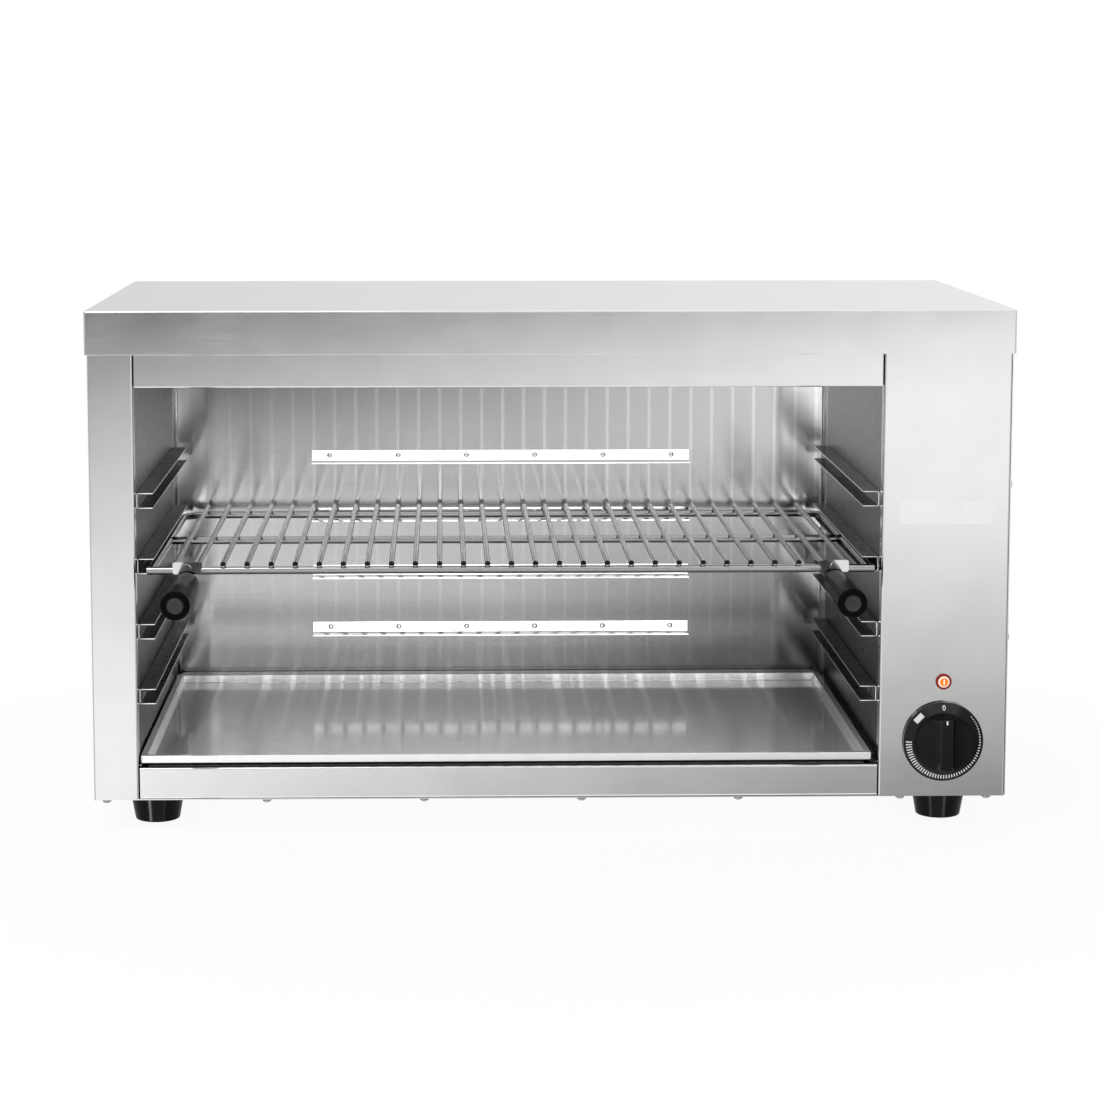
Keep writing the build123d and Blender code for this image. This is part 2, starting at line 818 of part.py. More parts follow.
with BuildPart() as element_bushes:
    bush_places = [(depth, element_height) for depth in leg_depths]
    with BuildSketch(endways(liner_right - bush_inner_reach)):
        with Locations(*bush_places):
            Circle(bush_sleeve_diameter / 2)
            Circle(element_diameter / 2 + bush_gap, mode=Mode.SUBTRACT)
    extrude(amount=bush_inner_reach + sheet)
    with BuildSketch(endways(liner_right + sheet)):
        with Locations(*bush_places):
            Circle(bush_flange_diameter / 2)
            Circle(element_diameter / 2 + bush_gap, mode=Mode.SUBTRACT)
    extrude(amount=bush_flange_thickness)
save(element_bushes.part, "element_bushes")

with BuildPart() as element_hanger:
    fold(
        upright(leg_depths[-1] + hanger_margin),
        [
            (cavity_left + hanger_inset + hanger_flange, reflector_height),
            (cavity_left + hanger_inset, reflector_height),
            (cavity_left + hanger_inset, reflector_height - hanger_height),
        ],
        Side.LEFT,
        leg_depths[-1] - leg_depths[0] + 2 * hanger_margin,
    )
    drill(endways(cavity_left + hanger_inset - overrun), [(d, element_height) for d in leg_depths],
          element_diameter + 2 * hanger_hole_gap, sheet + 2 * overrun)
save(element_hanger.part, "element_hanger")

# Energy regulator, its shaft and ring nut
regulator_back = sheet + regulator_depth
with BuildPart() as energy_regulator:
    with BuildSketch(upright(regulator_back)):
        with Locations((panel_middle, knob_height)):
            RectangleRounded(regulator_width, regulator_height, regulator_corner)
    extrude(amount=regulator_depth)
    with BuildSketch(upright(sheet)):
        with Locations((panel_middle, knob_height)):
            Circle(regulator_bush_diameter / 2)
    extrude(amount=sheet + regulator_bush_reach)
    with BuildSketch(upright(regulator_back)):
        with Locations((panel_middle, knob_height)):
            with GridLocations(regulator_tab_spacing, 0, regulator_tab_count, 1):
                Rectangle(regulator_tab_thickness, regulator_tab_width)
    extrude(amount=-regulator_tab_length)
    drill(upright(sheet + shaft_inner_length + overrun), [(panel_middle, knob_height)],
          shaft_diameter + 2 * shaft_gap,
          shaft_inner_length + overrun + sheet + regulator_bush_reach + overrun)
save(energy_regulator.part, "energy_regulator")

with BuildPart() as regulator_nut:
    with BuildSketch(upright(0)):
        with Locations((panel_middle, knob_height)):
            RegularPolygon(regulator_nut_size / 2, 6, major_radius=False)
            Circle(regulator_bush_diameter / 2 + hole_gap, mode=Mode.SUBTRACT)
    extrude(amount=regulator_nut_thickness)
save(regulator_nut.part, "regulator_nut")

with BuildPart() as regulator_shaft:
    with BuildSketch(upright(sheet + shaft_inner_length)):
        with Locations((panel_middle, knob_height)):
            Circle(shaft_diameter / 2)
    extrude(amount=sheet + shaft_inner_length - shaft_front)
    knob_socket_back = knob_back - knob_pocket_depth
    flat(
        upright(knob_socket_back),
        (panel_middle - shaft_diameter, knob_height + shaft_diameter / 2 - shaft_flat),
        (panel_middle + shaft_diameter, knob_height + shaft_diameter),
        knob_socket_back - shaft_front + overrun,
        mode=Mode.SUBTRACT,
    )
save(regulator_shaft.part, "regulator_shaft")

# Control knob: dial skirt, raised disc and a grip bar across it, whose sides slope
with BuildPart() as grip_bar:
    with BuildSketch(plan(knob_height - knob_disc_diameter / 2)):
        with BuildLine():
            Polyline(
                (panel_middle - knob_bar_base_width / 2, knob_front_of_disc),
                (panel_middle + knob_bar_base_width / 2, knob_front_of_disc),
                (panel_middle + knob_bar_width / 2, knob_front),
                (panel_middle - knob_bar_width / 2, knob_front),
                close=True,
            )
        make_face()
    extrude(amount=knob_disc_diameter)
    with BuildSketch(upright(knob_front_of_disc)):
        with Locations((panel_middle, knob_height)):
            Circle(knob_disc_diameter / 2 - knob_bar_inset)
    extrude(amount=knob_bar_rise, mode=Mode.INTERSECT)

with BuildPart() as control_knob:
    knob_axis = Axis((panel_middle, front_y, foot_height + knob_height), (0, 1, 0))
    with BuildSketch(endways(panel_middle)):
        with BuildLine():
            Polyline(
                (knob_back, knob_height),
                (knob_back, knob_height + knob_skirt_diameter / 2),
                (knob_back - knob_skirt_thickness, knob_height + knob_skirt_diameter / 2),
                (knob_front_of_skirt, knob_height + knob_cone_diameter / 2),
                (knob_front_of_skirt, knob_height + knob_disc_diameter / 2),
                (knob_front_of_disc, knob_height + knob_disc_diameter / 2),
                (knob_front_of_disc, knob_height),
                close=True,
            )
        make_face()
    revolve(axis=knob_axis)
    add(grip_bar.part)
    front_edges = control_knob.faces().sort_by(Axis.Y)[0].edges()
    fillet(front_edges, radius=knob_edge_round)
    drill(upright(knob_back), [(panel_middle, knob_height)], knob_pocket_diameter, knob_pocket_depth)
    with BuildSketch(upright(knob_socket_back)):
        with Locations((panel_middle, knob_height)):
            Circle(shaft_diameter / 2 + shaft_gap)
        with Locations((panel_middle, knob_height - shaft_flat / 2)):
            Rectangle(2 * shaft_diameter, shaft_diameter - shaft_flat + 2 * shaft_gap, mode=Mode.INTERSECT)
    extrude(amount=knob_socket_back - shaft_front + shaft_gap, mode=Mode.SUBTRACT)
save(control_knob.part, "control_knob")

# Pilot lamp: a bezel with its barrel, the lens in it, and a spring clip behind the panel
with BuildPart() as pilot_lamp_bezel:
    with BuildSketch(upright(0)):
        with Locations((panel_middle, lamp_height)):
            Circle(lamp_bezel_diameter / 2)
    extrude(amount=lamp_bezel_thickness)
    fillet(pilot_lamp_bezel.faces().sort_by(Axis.Y)[0].edges(), radius=lamp_bezel_thickness / 2)
    with BuildSketch(upright(0)):
        with Locations((panel_middle, lamp_height)):
            Circle(lamp_barrel_diameter / 2)
    extrude(amount=-lamp_barrel_length)
    drill(upright(lamp_lens_depth - lamp_bezel_thickness), [(panel_middle, lamp_height)],
          lamp_lens_diameter + 2 * lamp_lens_gap, lamp_lens_depth)
save(pilot_lamp_bezel.part, "pilot_lamp_bezel")

with BuildPart() as pilot_lamp_lens:
    with BuildSketch(upright(lamp_lens_depth - lamp_bezel_thickness)):
        with Locations((panel_middle, lamp_height)):
            Circle(lamp_lens_diameter / 2)
    extrude(amount=lamp_lens_depth + lamp_lens_dome)
    fillet(pilot_lamp_lens.faces().sort_by(Axis.Y)[0].edges(), radius=lamp_lens_dome)
save(pilot_lamp_lens.part, "pilot_lamp_lens")

with BuildPart() as pilot_lamp_clip:
    with BuildSketch(upright(sheet + lamp_clip_thickness)):
        with Locations((panel_middle, lamp_height)):
            Circle(lamp_clip_diameter / 2)
            Circle(lamp_barrel_diameter / 2 + hole_gap, mode=Mode.SUBTRACT)
    extrude(amount=lamp_clip_thickness)
save(pilot_lamp_clip.part, "pilot_lamp_clip")

# Mains connection: terminal block on the base plate, gland in the back panel
with BuildPart() as terminal_block:
    with BuildSketch(plan(sheet)):
        with Locations((panel_middle, terminal_place)):
            Rectangle(terminal_width, terminal_depth)
    extrude(amount=terminal_height)
    chamfer(terminal_block.faces().sort_by(Axis.Z)[-1].edges(), length=terminal_edge)
    with BuildSketch(upright(terminal_place + terminal_depth / 2)) as ways:
        with Locations((panel_middle, sheet + terminal_height / 2)):
            with GridLocations(terminal_spacing, 0, terminal_ways, 1):
                Circle(terminal_bore / 2)
    extrude(ways.sketch, amount=terminal_depth, mode=Mode.SUBTRACT)
save(terminal_block.part, "terminal_block")

with BuildPart() as cable_gland:
    with BuildSketch(upright(back_face)):
        with Locations((panel_middle, gland_height)):
            RegularPolygon(gland_hex / 2, 6, major_radius=False)
    extrude(amount=-gland_hex_thickness)
    with BuildSketch(upright(back_face + gland_hex_thickness)):
        with Locations((panel_middle, gland_height)):
            Circle(gland_cap_diameter / 2)
    extrude(amount=-gland_cap_length)
    fillet(cable_gland.faces().sort_by(Axis.Y)[-1].edges(), radius=gland_cap_round)
    with BuildSketch(upright(back_face)):
        with Locations((panel_middle, gland_height)):
            Circle(gland_thread_diameter / 2)
    extrude(amount=sheet + gland_inner_length)
    drill(upright(gland_rear), [(panel_middle, gland_height)], gland_bore,
          gland_rear - back_face + sheet + gland_inner_length)
save(cable_gland.part, "cable_gland")

with BuildPart() as gland_nut:
    with BuildSketch(upright(shell_rear)):
        with Locations((panel_middle, gland_height)):
            RegularPolygon(gland_hex / 2, 6, major_radius=False)
            Circle(gland_thread_diameter / 2 + hole_gap, mode=Mode.SUBTRACT)
    extrude(amount=gland_nut_thickness)
save(gland_nut.part, "gland_nut")

# Feet: rubber cones, each held by a bolt in a recess and a nut on the base plate
bolt_seat = foot_recess_depth - foot_height
for place_name, (x, depth) in foot_places.items():
    with BuildPart() as foot:
        with BuildSketch(plan(-foot_height)):
            with Locations((x, depth)):
                Circle(foot_bottom_diameter / 2)
        with BuildSketch(plan(0)):
            with Locations((x, depth)):
                Circle(foot_top_diameter / 2)
        loft()
        fillet(foot.faces().sort_by(Axis.Z)[0].edges(), radius=foot_round)
        drill(plan(-foot_height), [(x, depth)], foot_recess_diameter, foot_recess_depth)
        drill(plan(bolt_seat), [(x, depth)], foot_bolt_diameter + 2 * foot_bolt_gap, -bolt_seat)
    save(foot.part, f"foot_{place_name}")

with BuildPart() as foot_bolts:
    with BuildSketch(plan(bolt_seat)):
        with Locations(*foot_places.values()):
            Circle(foot_bolt_head_diameter / 2)
    extrude(amount=-foot_bolt_head_height)
    with BuildSketch(plan(bolt_seat)):
        with Locations(*foot_places.values()):
            Circle(foot_bolt_diameter / 2)
    extrude(amount=foot_bolt_above - bolt_seat)
save(foot_bolts.part, "foot_bolts")

with BuildPart() as foot_nuts:
    with BuildSketch(plan(sheet)):
        with Locations(*foot_places.values()):
            RegularPolygon(foot_nut_size / 2, 6, major_radius=False)
            Circle(foot_bolt_diameter / 2 + foot_bolt_gap, mode=Mode.SUBTRACT)
    extrude(amount=foot_nut_thickness)
save(foot_nuts.part, "foot_nuts")

# Screws of the casing
with BuildPart() as base_screws:
    pan_screw(plan(0), [(x, front_screw_depth) for x in post_screws + rail_screws + panel_screws],
              screw_length, screw_head_height)
save(base_screws.part, "base_screws")

with BuildPart() as side_screws:
    side_plane = Plane(
        origin=(body_right, front_y, foot_height), x_dir=(0, -1, 0), z_dir=(-1, 0, 0)
    )
    pan_screw(side_plane, [(-side_screw_depth, h) for h in side_screws_at], screw_length,
              side_screw_head_height)
save(side_screws.part, "side_screws")

with BuildPart() as back_screws:
    pan_screw(upright(body_depth), [(x, h) for x in back_screw_xs for h in back_screws_at],
              screw_length, screw_head_height)
save(back_screws.part, "back_screws")
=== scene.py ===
"""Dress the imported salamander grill: finishes, small hardware, dial print, lamps and camera."""
import logging
import math
from abc import ABC, abstractmethod
from dataclasses import dataclass, field
from enum import Enum
from typing import Iterable, Iterator, Mapping, Optional, Sequence, Union

import bmesh
import bpy
from mathutils import Matrix, Vector


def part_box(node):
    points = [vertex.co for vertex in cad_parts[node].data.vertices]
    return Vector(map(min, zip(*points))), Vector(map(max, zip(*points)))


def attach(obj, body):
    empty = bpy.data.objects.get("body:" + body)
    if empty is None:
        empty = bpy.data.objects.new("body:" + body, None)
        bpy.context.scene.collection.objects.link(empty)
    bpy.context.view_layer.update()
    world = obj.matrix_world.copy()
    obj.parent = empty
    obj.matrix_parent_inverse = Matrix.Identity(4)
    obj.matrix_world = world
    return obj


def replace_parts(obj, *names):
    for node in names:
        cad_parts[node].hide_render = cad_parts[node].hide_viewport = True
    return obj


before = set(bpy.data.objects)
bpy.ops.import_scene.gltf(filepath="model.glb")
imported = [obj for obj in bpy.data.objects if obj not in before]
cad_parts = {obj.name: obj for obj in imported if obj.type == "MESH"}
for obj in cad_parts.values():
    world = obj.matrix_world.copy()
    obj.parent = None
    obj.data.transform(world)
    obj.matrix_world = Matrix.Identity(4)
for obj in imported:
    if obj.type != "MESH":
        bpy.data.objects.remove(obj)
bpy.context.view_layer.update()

MERGE_DISTANCE = 0.000002
EDGE_ROUND = 0.00045
EDGE_STEPS = 3
SHARP_ANGLE = 40.0
FLAT_ANGLE = 0.3
ROUND_CREASE = 35.0
SMOOTH_CREASE = 180.0
FASTENER_REACH = 3.0
ROUND_PROFILE = 0.5
NOISE_ROUGHNESS = 0.55
FEET = ("foot_front_left", "foot_front_right", "foot_rear_left", "foot_rear_right")
TRAY_SHEETS = ("drip_tray_sheet", "tray_flange")
log = logging.getLogger("grill")

Colour = tuple[float, float, float]
Place = tuple[float, float, float]
Socket = bpy.types.NodeSocket
Piece = bpy.types.Object
Mesh = bmesh.types.BMesh
Corner = bmesh.types.BMVert
Feed = Union[float, Sequence[float], Socket]
Feeds = Mapping[Union[int, str], Feed]
BLACK: Colour = (0.0, 0.0, 0.0)
WHITE: Colour = (1.0, 1.0, 1.0)


class Body(Enum):
    """What moves as one on the grill."""

    CABINET = "cabinet"
    RACK = "rack"
    TRAY = "tray"
    KNOB = "knob"


class Ray(Enum):
    """Kinds of light ray that a stage object may be kept from."""

    CAMERA = "visible_camera"
    DIFFUSE = "visible_diffuse"
    GLOSSY = "visible_glossy"
    TRANSMISSION = "visible_transmission"
    SHADOW = "visible_shadow"


class NodeSheet:
    """One node tree, with short ways to add and join its nodes."""

    def __init__(self, tree: bpy.types.NodeTree) -> None:
        """Take over a tree and empty it."""
        self.tree = tree
        self.tree.nodes.clear()

    def add(self, kind: str, feeds: Optional[Feeds] = None, **options: object) -> bpy.types.Node:
        """Add one node.

        Args:
            kind: Blender's name for the type of node.
            feeds: what each input takes, by its name or number: a constant or another node's output.
            **options: settings of the node itself.

        Returns:
            The new node.
        """
        node = self.tree.nodes.new(kind)
        for option, choice in options.items():
            setattr(node, option, choice)
        for key, feed in (feeds or {}).items():
            if isinstance(feed, Socket):
                self.tree.links.new(feed, node.inputs[key])
            else:
                node.inputs[key].default_value = feed
        return node

    def calc(self, operation: str, *values: Feed) -> Socket:
        """Return the result of one sum on numbers."""
        return self.add("ShaderNodeMath", dict(enumerate(values)), operation=operation).outputs[0]

    def vector(self, operation: str, *values: Feed) -> Socket:
        """Work out one sum on vectors.

        Args:
            operation: Blender's name for the sum.
            *values: the vectors that it takes.

        Returns:
            A number for a dot product or a length, and a vector otherwise.
        """
        node = self.add("ShaderNodeVectorMath", dict(enumerate(values)), operation=operation)
        return node.outputs["Value" if operation in ("DOT_PRODUCT", "LENGTH") else "Vector"]

    def place(self) -> Socket:
        """Return the place on the object, in metres, which moves with the object."""
        return self.add("ShaderNodeTexCoord").outputs["Object"]

    def spot(self) -> Mapping[str, Socket]:
        """Return the place on the object as three numbers, under X, Y and Z."""
        return self.add("ShaderNodeSeparateXYZ", {0: self.place()}).outputs

    def normal(self) -> Socket:
        """Return the direction in which the surface faces."""
        return self.add("ShaderNodeNewGeometry").outputs["Normal"]

    def noise(self, place: Feed, size: float, detail: float) -> Socket:
        """Return cloudy noise whose blobs are about that size."""
        feeds = {"Vector": place, "Scale": 1.0 / size, "Detail": detail, "Roughness": NOISE_ROUGHNESS}
        return self.add("ShaderNodeTexNoise", feeds).outputs[0]

    def spread(self, source: Feed, low: float, high: float, start: float = 0.3, end: float = 0.7) -> Socket:
        """Stretch a number to a new range.

        Args:
            source: the number.
            low: result at the start of its range.
            high: result at the end of its range.
            start: start of its range.
            end: end of its range.

        Returns:
            The stretched number, kept between low and high.
        """
        feeds = {"Value": source, "From Min": start, "From Max": end, "To Min": low, "To Max": high}
        return self.add("ShaderNodeMapRange", feeds, clamp=True).outputs[0]

    def blend(self, share: Feed, first: Feed, second: Feed) -> Socket:
        """Mix two colours, each given as three numbers or as another node's output.

        Args:
            share: how much of the second there is, from 0 to 1.
            first: the colour at a share of 0.
            second: the colour at a share of 1.

        Returns:
            The mixed colour.
        """
        feeds = {0: share}
        for key, colour in ((6, first), (7, second)):
            feeds[key] = colour if isinstance(colour, Socket) else (*colour, 1.0)
        return self.add("ShaderNodeMix", feeds, data_type="RGBA").outputs[2]

    def fade(self, start: Feed, end: Feed, share: Feed) -> Socket:
        """Return a number that goes from start to end as the share goes from 0 to 1."""
        return self.calc("MULTIPLY_ADD", share, self.calc("SUBTRACT", end, start), start)

    def bump(self, height: Feed, depth: float, strength: float) -> Socket:
        """Return a normal that follows small heights."""
        feeds = {"Height": height, "Distance": depth, "Strength": strength}
        return self.add("ShaderNodeBump", feeds).outputs[0]

    def principled(self, feeds: Feeds) -> Socket:
        """Return a surface with those inputs."""
        return self.add("ShaderNodeBsdfPrincipled", feeds).outputs[0]

    def seen_directly(self) -> Socket:
        """Tell the rays that show a surface from those that only bring its light.

        Returns:
            1 for rays of the camera, of reflections and through glass, and 0 for the rest.
        """
        path = self.add("ShaderNodeLightPath")
        mirrored = self.calc("MAXIMUM", path.outputs["Is Glossy Ray"], path.outputs["Is Transmission Ray"])
        return self.calc("MAXIMUM", path.outputs["Is Camera Ray"], mirrored)


@dataclass(frozen=True)
class Finish(ABC):
    """A surface finish; each one is made into a material once."""

    name: str

    @abstractmethod
    def paint(self, sheet: NodeSheet) -> Socket:
        """Lay the finish's nodes and return its surface."""

    def material(self) -> bpy.types.Material:
        """Make the finish into a material, or find the one made before.

        Returns:
            The material.
        """
        made = bpy.data.materials.get(self.name)
        if made is None:
            made = bpy.data.materials.new(self.name)
            made.use_nodes = True
            sheet = NodeSheet(made.node_tree)
            surface = self.paint(sheet)
            sheet.add("ShaderNodeOutputMaterial", {"Surface": surface})
        return made


@dataclass(frozen=True)
class SheetSteel(Finish):
    """Stainless sheet: fine scratches along its grain, faint clouds and a stretched highlight."""

    tint: Colour
    roughness: float
    anisotropy: float
    scratch_width: float = 0.0008
    scratch_length: float = 0.12
    scratch_spread: float = 0.04
    scratch_depth: float = 0.000004
    scratch_strength: float = 0.35
    scratch_detail: float = 2.0
    cloud_size: float = 0.05
    cloud_detail: float = 5.0
    cloud_spread: float = 0.02
    cloud_shade: float = 0.94
    metallic: float = 1.0
    grain_pole: Place = (0.0, 0.02, 1.0)

    def shade(self, sheet: NodeSheet, clouds: Socket) -> Socket:
        """Return the sheet's colour, a little duller in places."""
        dull = tuple(c * self.cloud_shade for c in self.tint)
        return sheet.blend(sheet.spread(clouds, 0.0, 1.0), dull, self.tint)

    def lie(self, sheet: NodeSheet, scratches: Socket) -> Socket:
        """Return the normal, which follows the scratches."""
        return sheet.bump(scratches, self.scratch_depth, self.scratch_strength)

    def paint(self, sheet: NodeSheet) -> Socket:
        """Lay scratches level along every upright face, which stretch what is mirrored across them.

        Args:
            sheet: the material's node tree.

        Returns:
            The surface.
        """
        place = sheet.place()
        normal = sheet.normal()
        along = sheet.vector("NORMALIZE", sheet.vector("CROSS_PRODUCT", normal, self.grain_pole))
        across = sheet.vector("CROSS_PRODUCT", normal, along)
        run = sheet.calc("DIVIDE", sheet.vector("DOT_PRODUCT", place, along), self.scratch_length)
        step = sheet.calc("DIVIDE", sheet.vector("DOT_PRODUCT", place, across), self.scratch_width)
        grain = sheet.add("ShaderNodeCombineXYZ", {0: run, 1: step}).outputs[0]
        scratches = sheet.noise(grain, 1.0, self.scratch_detail)
        clouds = sheet.noise(place, self.cloud_size, self.cloud_detail)
        smooth, rough = self.roughness - self.scratch_spread, self.roughness + self.scratch_spread
        patchy = sheet.spread(clouds, -self.cloud_spread, self.cloud_spread)
        return sheet.principled({
            "Base Color": self.shade(sheet, clouds),
            "Metallic": self.metallic,
            "Roughness": sheet.calc("ADD", sheet.spread(scratches, smooth, rough), patchy),
            "Anisotropic": self.anisotropy,
            "Tangent": across,
            "Normal": self.lie(sheet, scratches),
        })


@dataclass(frozen=True)
class LeaningSteel(SheetSteel):
    """Bright sheet of the rear strips, shaded as if it leant back a little, the low ones the most."""

    lean_at_floor: float = 0.2
    lean_slope: float = -0.358

    def lie(self, sheet: NodeSheet, scratches: Socket) -> Socket:
        """Turn the normal up a little.

        Args:
            sheet: the material's node tree.
            scratches: heights of the scratches.

        Returns:
            The normal.
        """
        lean = sheet.calc("MULTIPLY_ADD", sheet.spot()["Z"], self.lean_slope, self.lean_at_floor)
        up = sheet.add("ShaderNodeCombineXYZ", {2: lean}).outputs[0]
        return sheet.vector("NORMALIZE", sheet.vector("ADD", super().lie(sheet, scratches), up))


@dataclass(frozen=True)
class PaintedReflectionSteel(SheetSteel):
    """Bright sheet of the rear wall: pale streaks as far apart as the rack's rungs, which are painted
    reflections of the rungs, and painted shade at two corners and at the foot.
    """

    # The streak fields place pale streaks that are painted reflections of the rack's rungs; the height,
    # corner and foot fields below shape painted shade.
    streak_start: float = -0.03435
    streak_spacing: float = 0.02085
    streak_half: float = 0.0024
    streak_core: float = 0.3
    painted_reflection_gain: float = 1.22
    streak_foot: float = 0.238
    streak_share_below: float = 0.35
    foot_blur: float = 0.002
    faint_share: float = 0.25
    faint_end: float = -0.32
    clear_end: float = -0.12
    painted_shade_height: float = 0.26
    upper_end: float = 0.26
    upper_slope: float = 12.0
    lower_end: float = -0.05
    lower_slope: float = -15.0
    darkest_painted_shade: float = 0.36
    foot_shade: float = 0.5
    foot_heights: tuple[float, float] = (0.085, 0.14)

    def corner(self, sheet: NodeSheet, across: Feed, end: float, away: Feed, slope: float) -> Socket:
        """Work out how much painted shade one corner takes.

        Args:
            sheet: the material's node tree.
            across: how far right a place is.
            end: where along the width the dull corner ends.
            away: how far up or down the place is, inside the corner's half.
            slope: how fast the painted shade deepens towards the corner.

        Returns:
            Nothing or less.
        """
        run = sheet.calc("MULTIPLY", sheet.calc("SUBTRACT", across, end), slope)
        return sheet.calc("MINIMUM", sheet.calc("MULTIPLY", run, away), 0.0)

    def shade(self, sheet: NodeSheet, clouds: Socket) -> Socket:
        """Lay the streaks as painted reflections of the rungs, and paint shade at the upper left, the lower
        right and the foot.

        Args:
            sheet: the material's node tree.
            clouds: where the sheet is duller.

        Returns:
            The sheet's colour.
        """
        spot = sheet.spot()
        # Painted reflections of the rungs: pale upright streaks, fainter below the rack and at the left.
        run = sheet.calc("DIVIDE", sheet.calc("SUBTRACT", spot["X"], self.streak_start), self.streak_spacing)
        half = self.streak_half / self.streak_spacing
        line = sheet.spread(sheet.calc("PINGPONG", run, 0.5), 1.0, 0.0, self.streak_core * half, half)
        foot = self.streak_foot
        height = sheet.spread(spot["Z"], self.streak_share_below, 1.0, foot - self.foot_blur, foot)
        clear = sheet.spread(spot["X"], self.faint_share, 1.0, self.faint_end, self.clear_end)
        share = sheet.calc("MULTIPLY", sheet.calc("MULTIPLY", line, height), clear)
        pale = tuple(c * self.painted_reflection_gain for c in self.tint)
        with_painted_reflections = sheet.blend(share, super().shade(sheet, clouds), pale)
        # Painted shade at the upper left and the lower right corners.
        above = sheet.calc("SUBTRACT", spot["Z"], self.painted_shade_height)
        rise = sheet.calc("MAXIMUM", above, 0.0)
        fall = sheet.calc("MAXIMUM", sheet.calc("MULTIPLY", above, -1.0), 0.0)
        upper = self.corner(sheet, spot["X"], self.upper_end, rise, self.upper_slope)
        lower = self.corner(sheet, spot["X"], self.lower_end, fall, self.lower_slope)
        turn = sheet.calc("ADD", upper, lower)
        kept = sheet.spread(turn, self.darkest_painted_shade, 1.0, self.darkest_painted_shade - 1.0, 0.0)
        # Painted shade towards the foot.
        low = sheet.spread(spot["Z"], self.foot_shade, 1.0, *self.foot_heights)
        return sheet.blend(sheet.calc("MULTIPLY", kept, low), BLACK, with_painted_reflections)


@dataclass(frozen=True)
class FloorShadePaintedSteel(SheetSteel):
    """Mill sheet of the side walls, with painted shade that darkens it towards the floor, and a painted
    highlight as a bright band along its rear edge.
    """

    dark_share: float = 0.16
    dark_height: float = 0.12
    clear_height: float = 0.34
    rear_highlight_tint: Colour = (0.9, 0.9, 0.895)
    rear_highlight_width: float = 0.018

    def shade(self, sheet: NodeSheet, clouds: Socket) -> Socket:
        """Paint shade that darkens the sheet towards the floor, and a highlight as a bright band along its
        rear edge.

        Args:
            sheet: the material's node tree.
            clouds: where the sheet is duller.

        Returns:
            The sheet's colour.
        """
        spot = sheet.spot()
        # Painted shade towards the floor.
        share = sheet.spread(spot["Z"], self.dark_share, 1.0, self.dark_height, self.clear_height)
        dark = sheet.blend(share, BLACK, super().shade(sheet, clouds))
        # Painted highlight: a bright band along the rear edge.
        rear = sheet.calc("GREATER_THAN", spot["Y"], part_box("rear_liner")[0].y - self.rear_highlight_width)
        return sheet.blend(rear, dark, self.rear_highlight_tint)


@dataclass(frozen=True)
class RailSteel(SheetSteel):
    """Casing sheet of the front rail, with painted shade on top, where it becomes the floor in front of the
    tray.
    """

    floor_shade: float = 0.12
    floor_end: float = -0.12
    level_turn: tuple[float, float] = (0.9, 0.99)

    def shade(self, sheet: NodeSheet, clouds: Socket) -> Socket:
        """Paint shade on the faces that look up in front of the tray.

        Args:
            sheet: the material's node tree.
            clouds: where the sheet is duller.

        Returns:
            The sheet's colour.
        """
        # Painted shade on the rail's top in front of the tray.
        facing_up = sheet.vector("DOT_PRODUCT", sheet.normal(), (0.0, 0.0, 1.0))
        level = sheet.spread(facing_up, 0.0, 1.0, *self.level_turn)
        near = sheet.calc("MULTIPLY", level, sheet.calc("LESS_THAN", sheet.spot()["Y"], self.floor_end))
        kept = sheet.spread(near, 1.0, self.floor_shade, 0.0, 1.0)
        return sheet.blend(kept, BLACK, super().shade(sheet, clouds))


@dataclass(frozen=True)
class PaintedStreakTraySteel(SheetSteel):
    """Bright sheet of the tray with streaks that run back, which are painted reflections, and painted shade
    between them that grows stronger towards its rear side.
    """

    streak_reflection_width: float = 0.012
    streak_reflection_detail: float = 1.0
    streak_reflection_range: tuple[float, float] = (0.5, 0.62)
    wall_shade: float = 0.75
    floor_shade: float = 0.72
    wall_start: float = 0.196
    fade_end: float = -0.1

    def shade(self, sheet: NodeSheet, clouds: Socket) -> Socket:
        """Paint shade on the sheet between the streaks, which stay bright as painted reflections.

        Args:
            sheet: the material's node tree.
            clouds: where the sheet is duller.

        Returns:
            The sheet's colour.
        """
        spot = sheet.spot()
        # Painted reflections as pale streaks that run back, with painted shade between them, stronger towards
        # the rear side.
        line = sheet.add("ShaderNodeCombineXYZ", {0: spot["X"]}).outputs[0]
        streaks = sheet.noise(line, self.streak_reflection_width, self.streak_reflection_detail)
        painted_streaks = sheet.spread(streaks, 0.0, 1.0, *self.streak_reflection_range)
        floor = sheet.spread(spot["Y"], 1.0, self.floor_shade, self.fade_end, self.wall_start)
        dull = sheet.fade(floor, self.wall_shade, sheet.calc("GREATER_THAN", spot["Y"], self.wall_start))
        return sheet.blend(sheet.fade(dull, 1.0, painted_streaks), BLACK, super().shade(sheet, clouds))


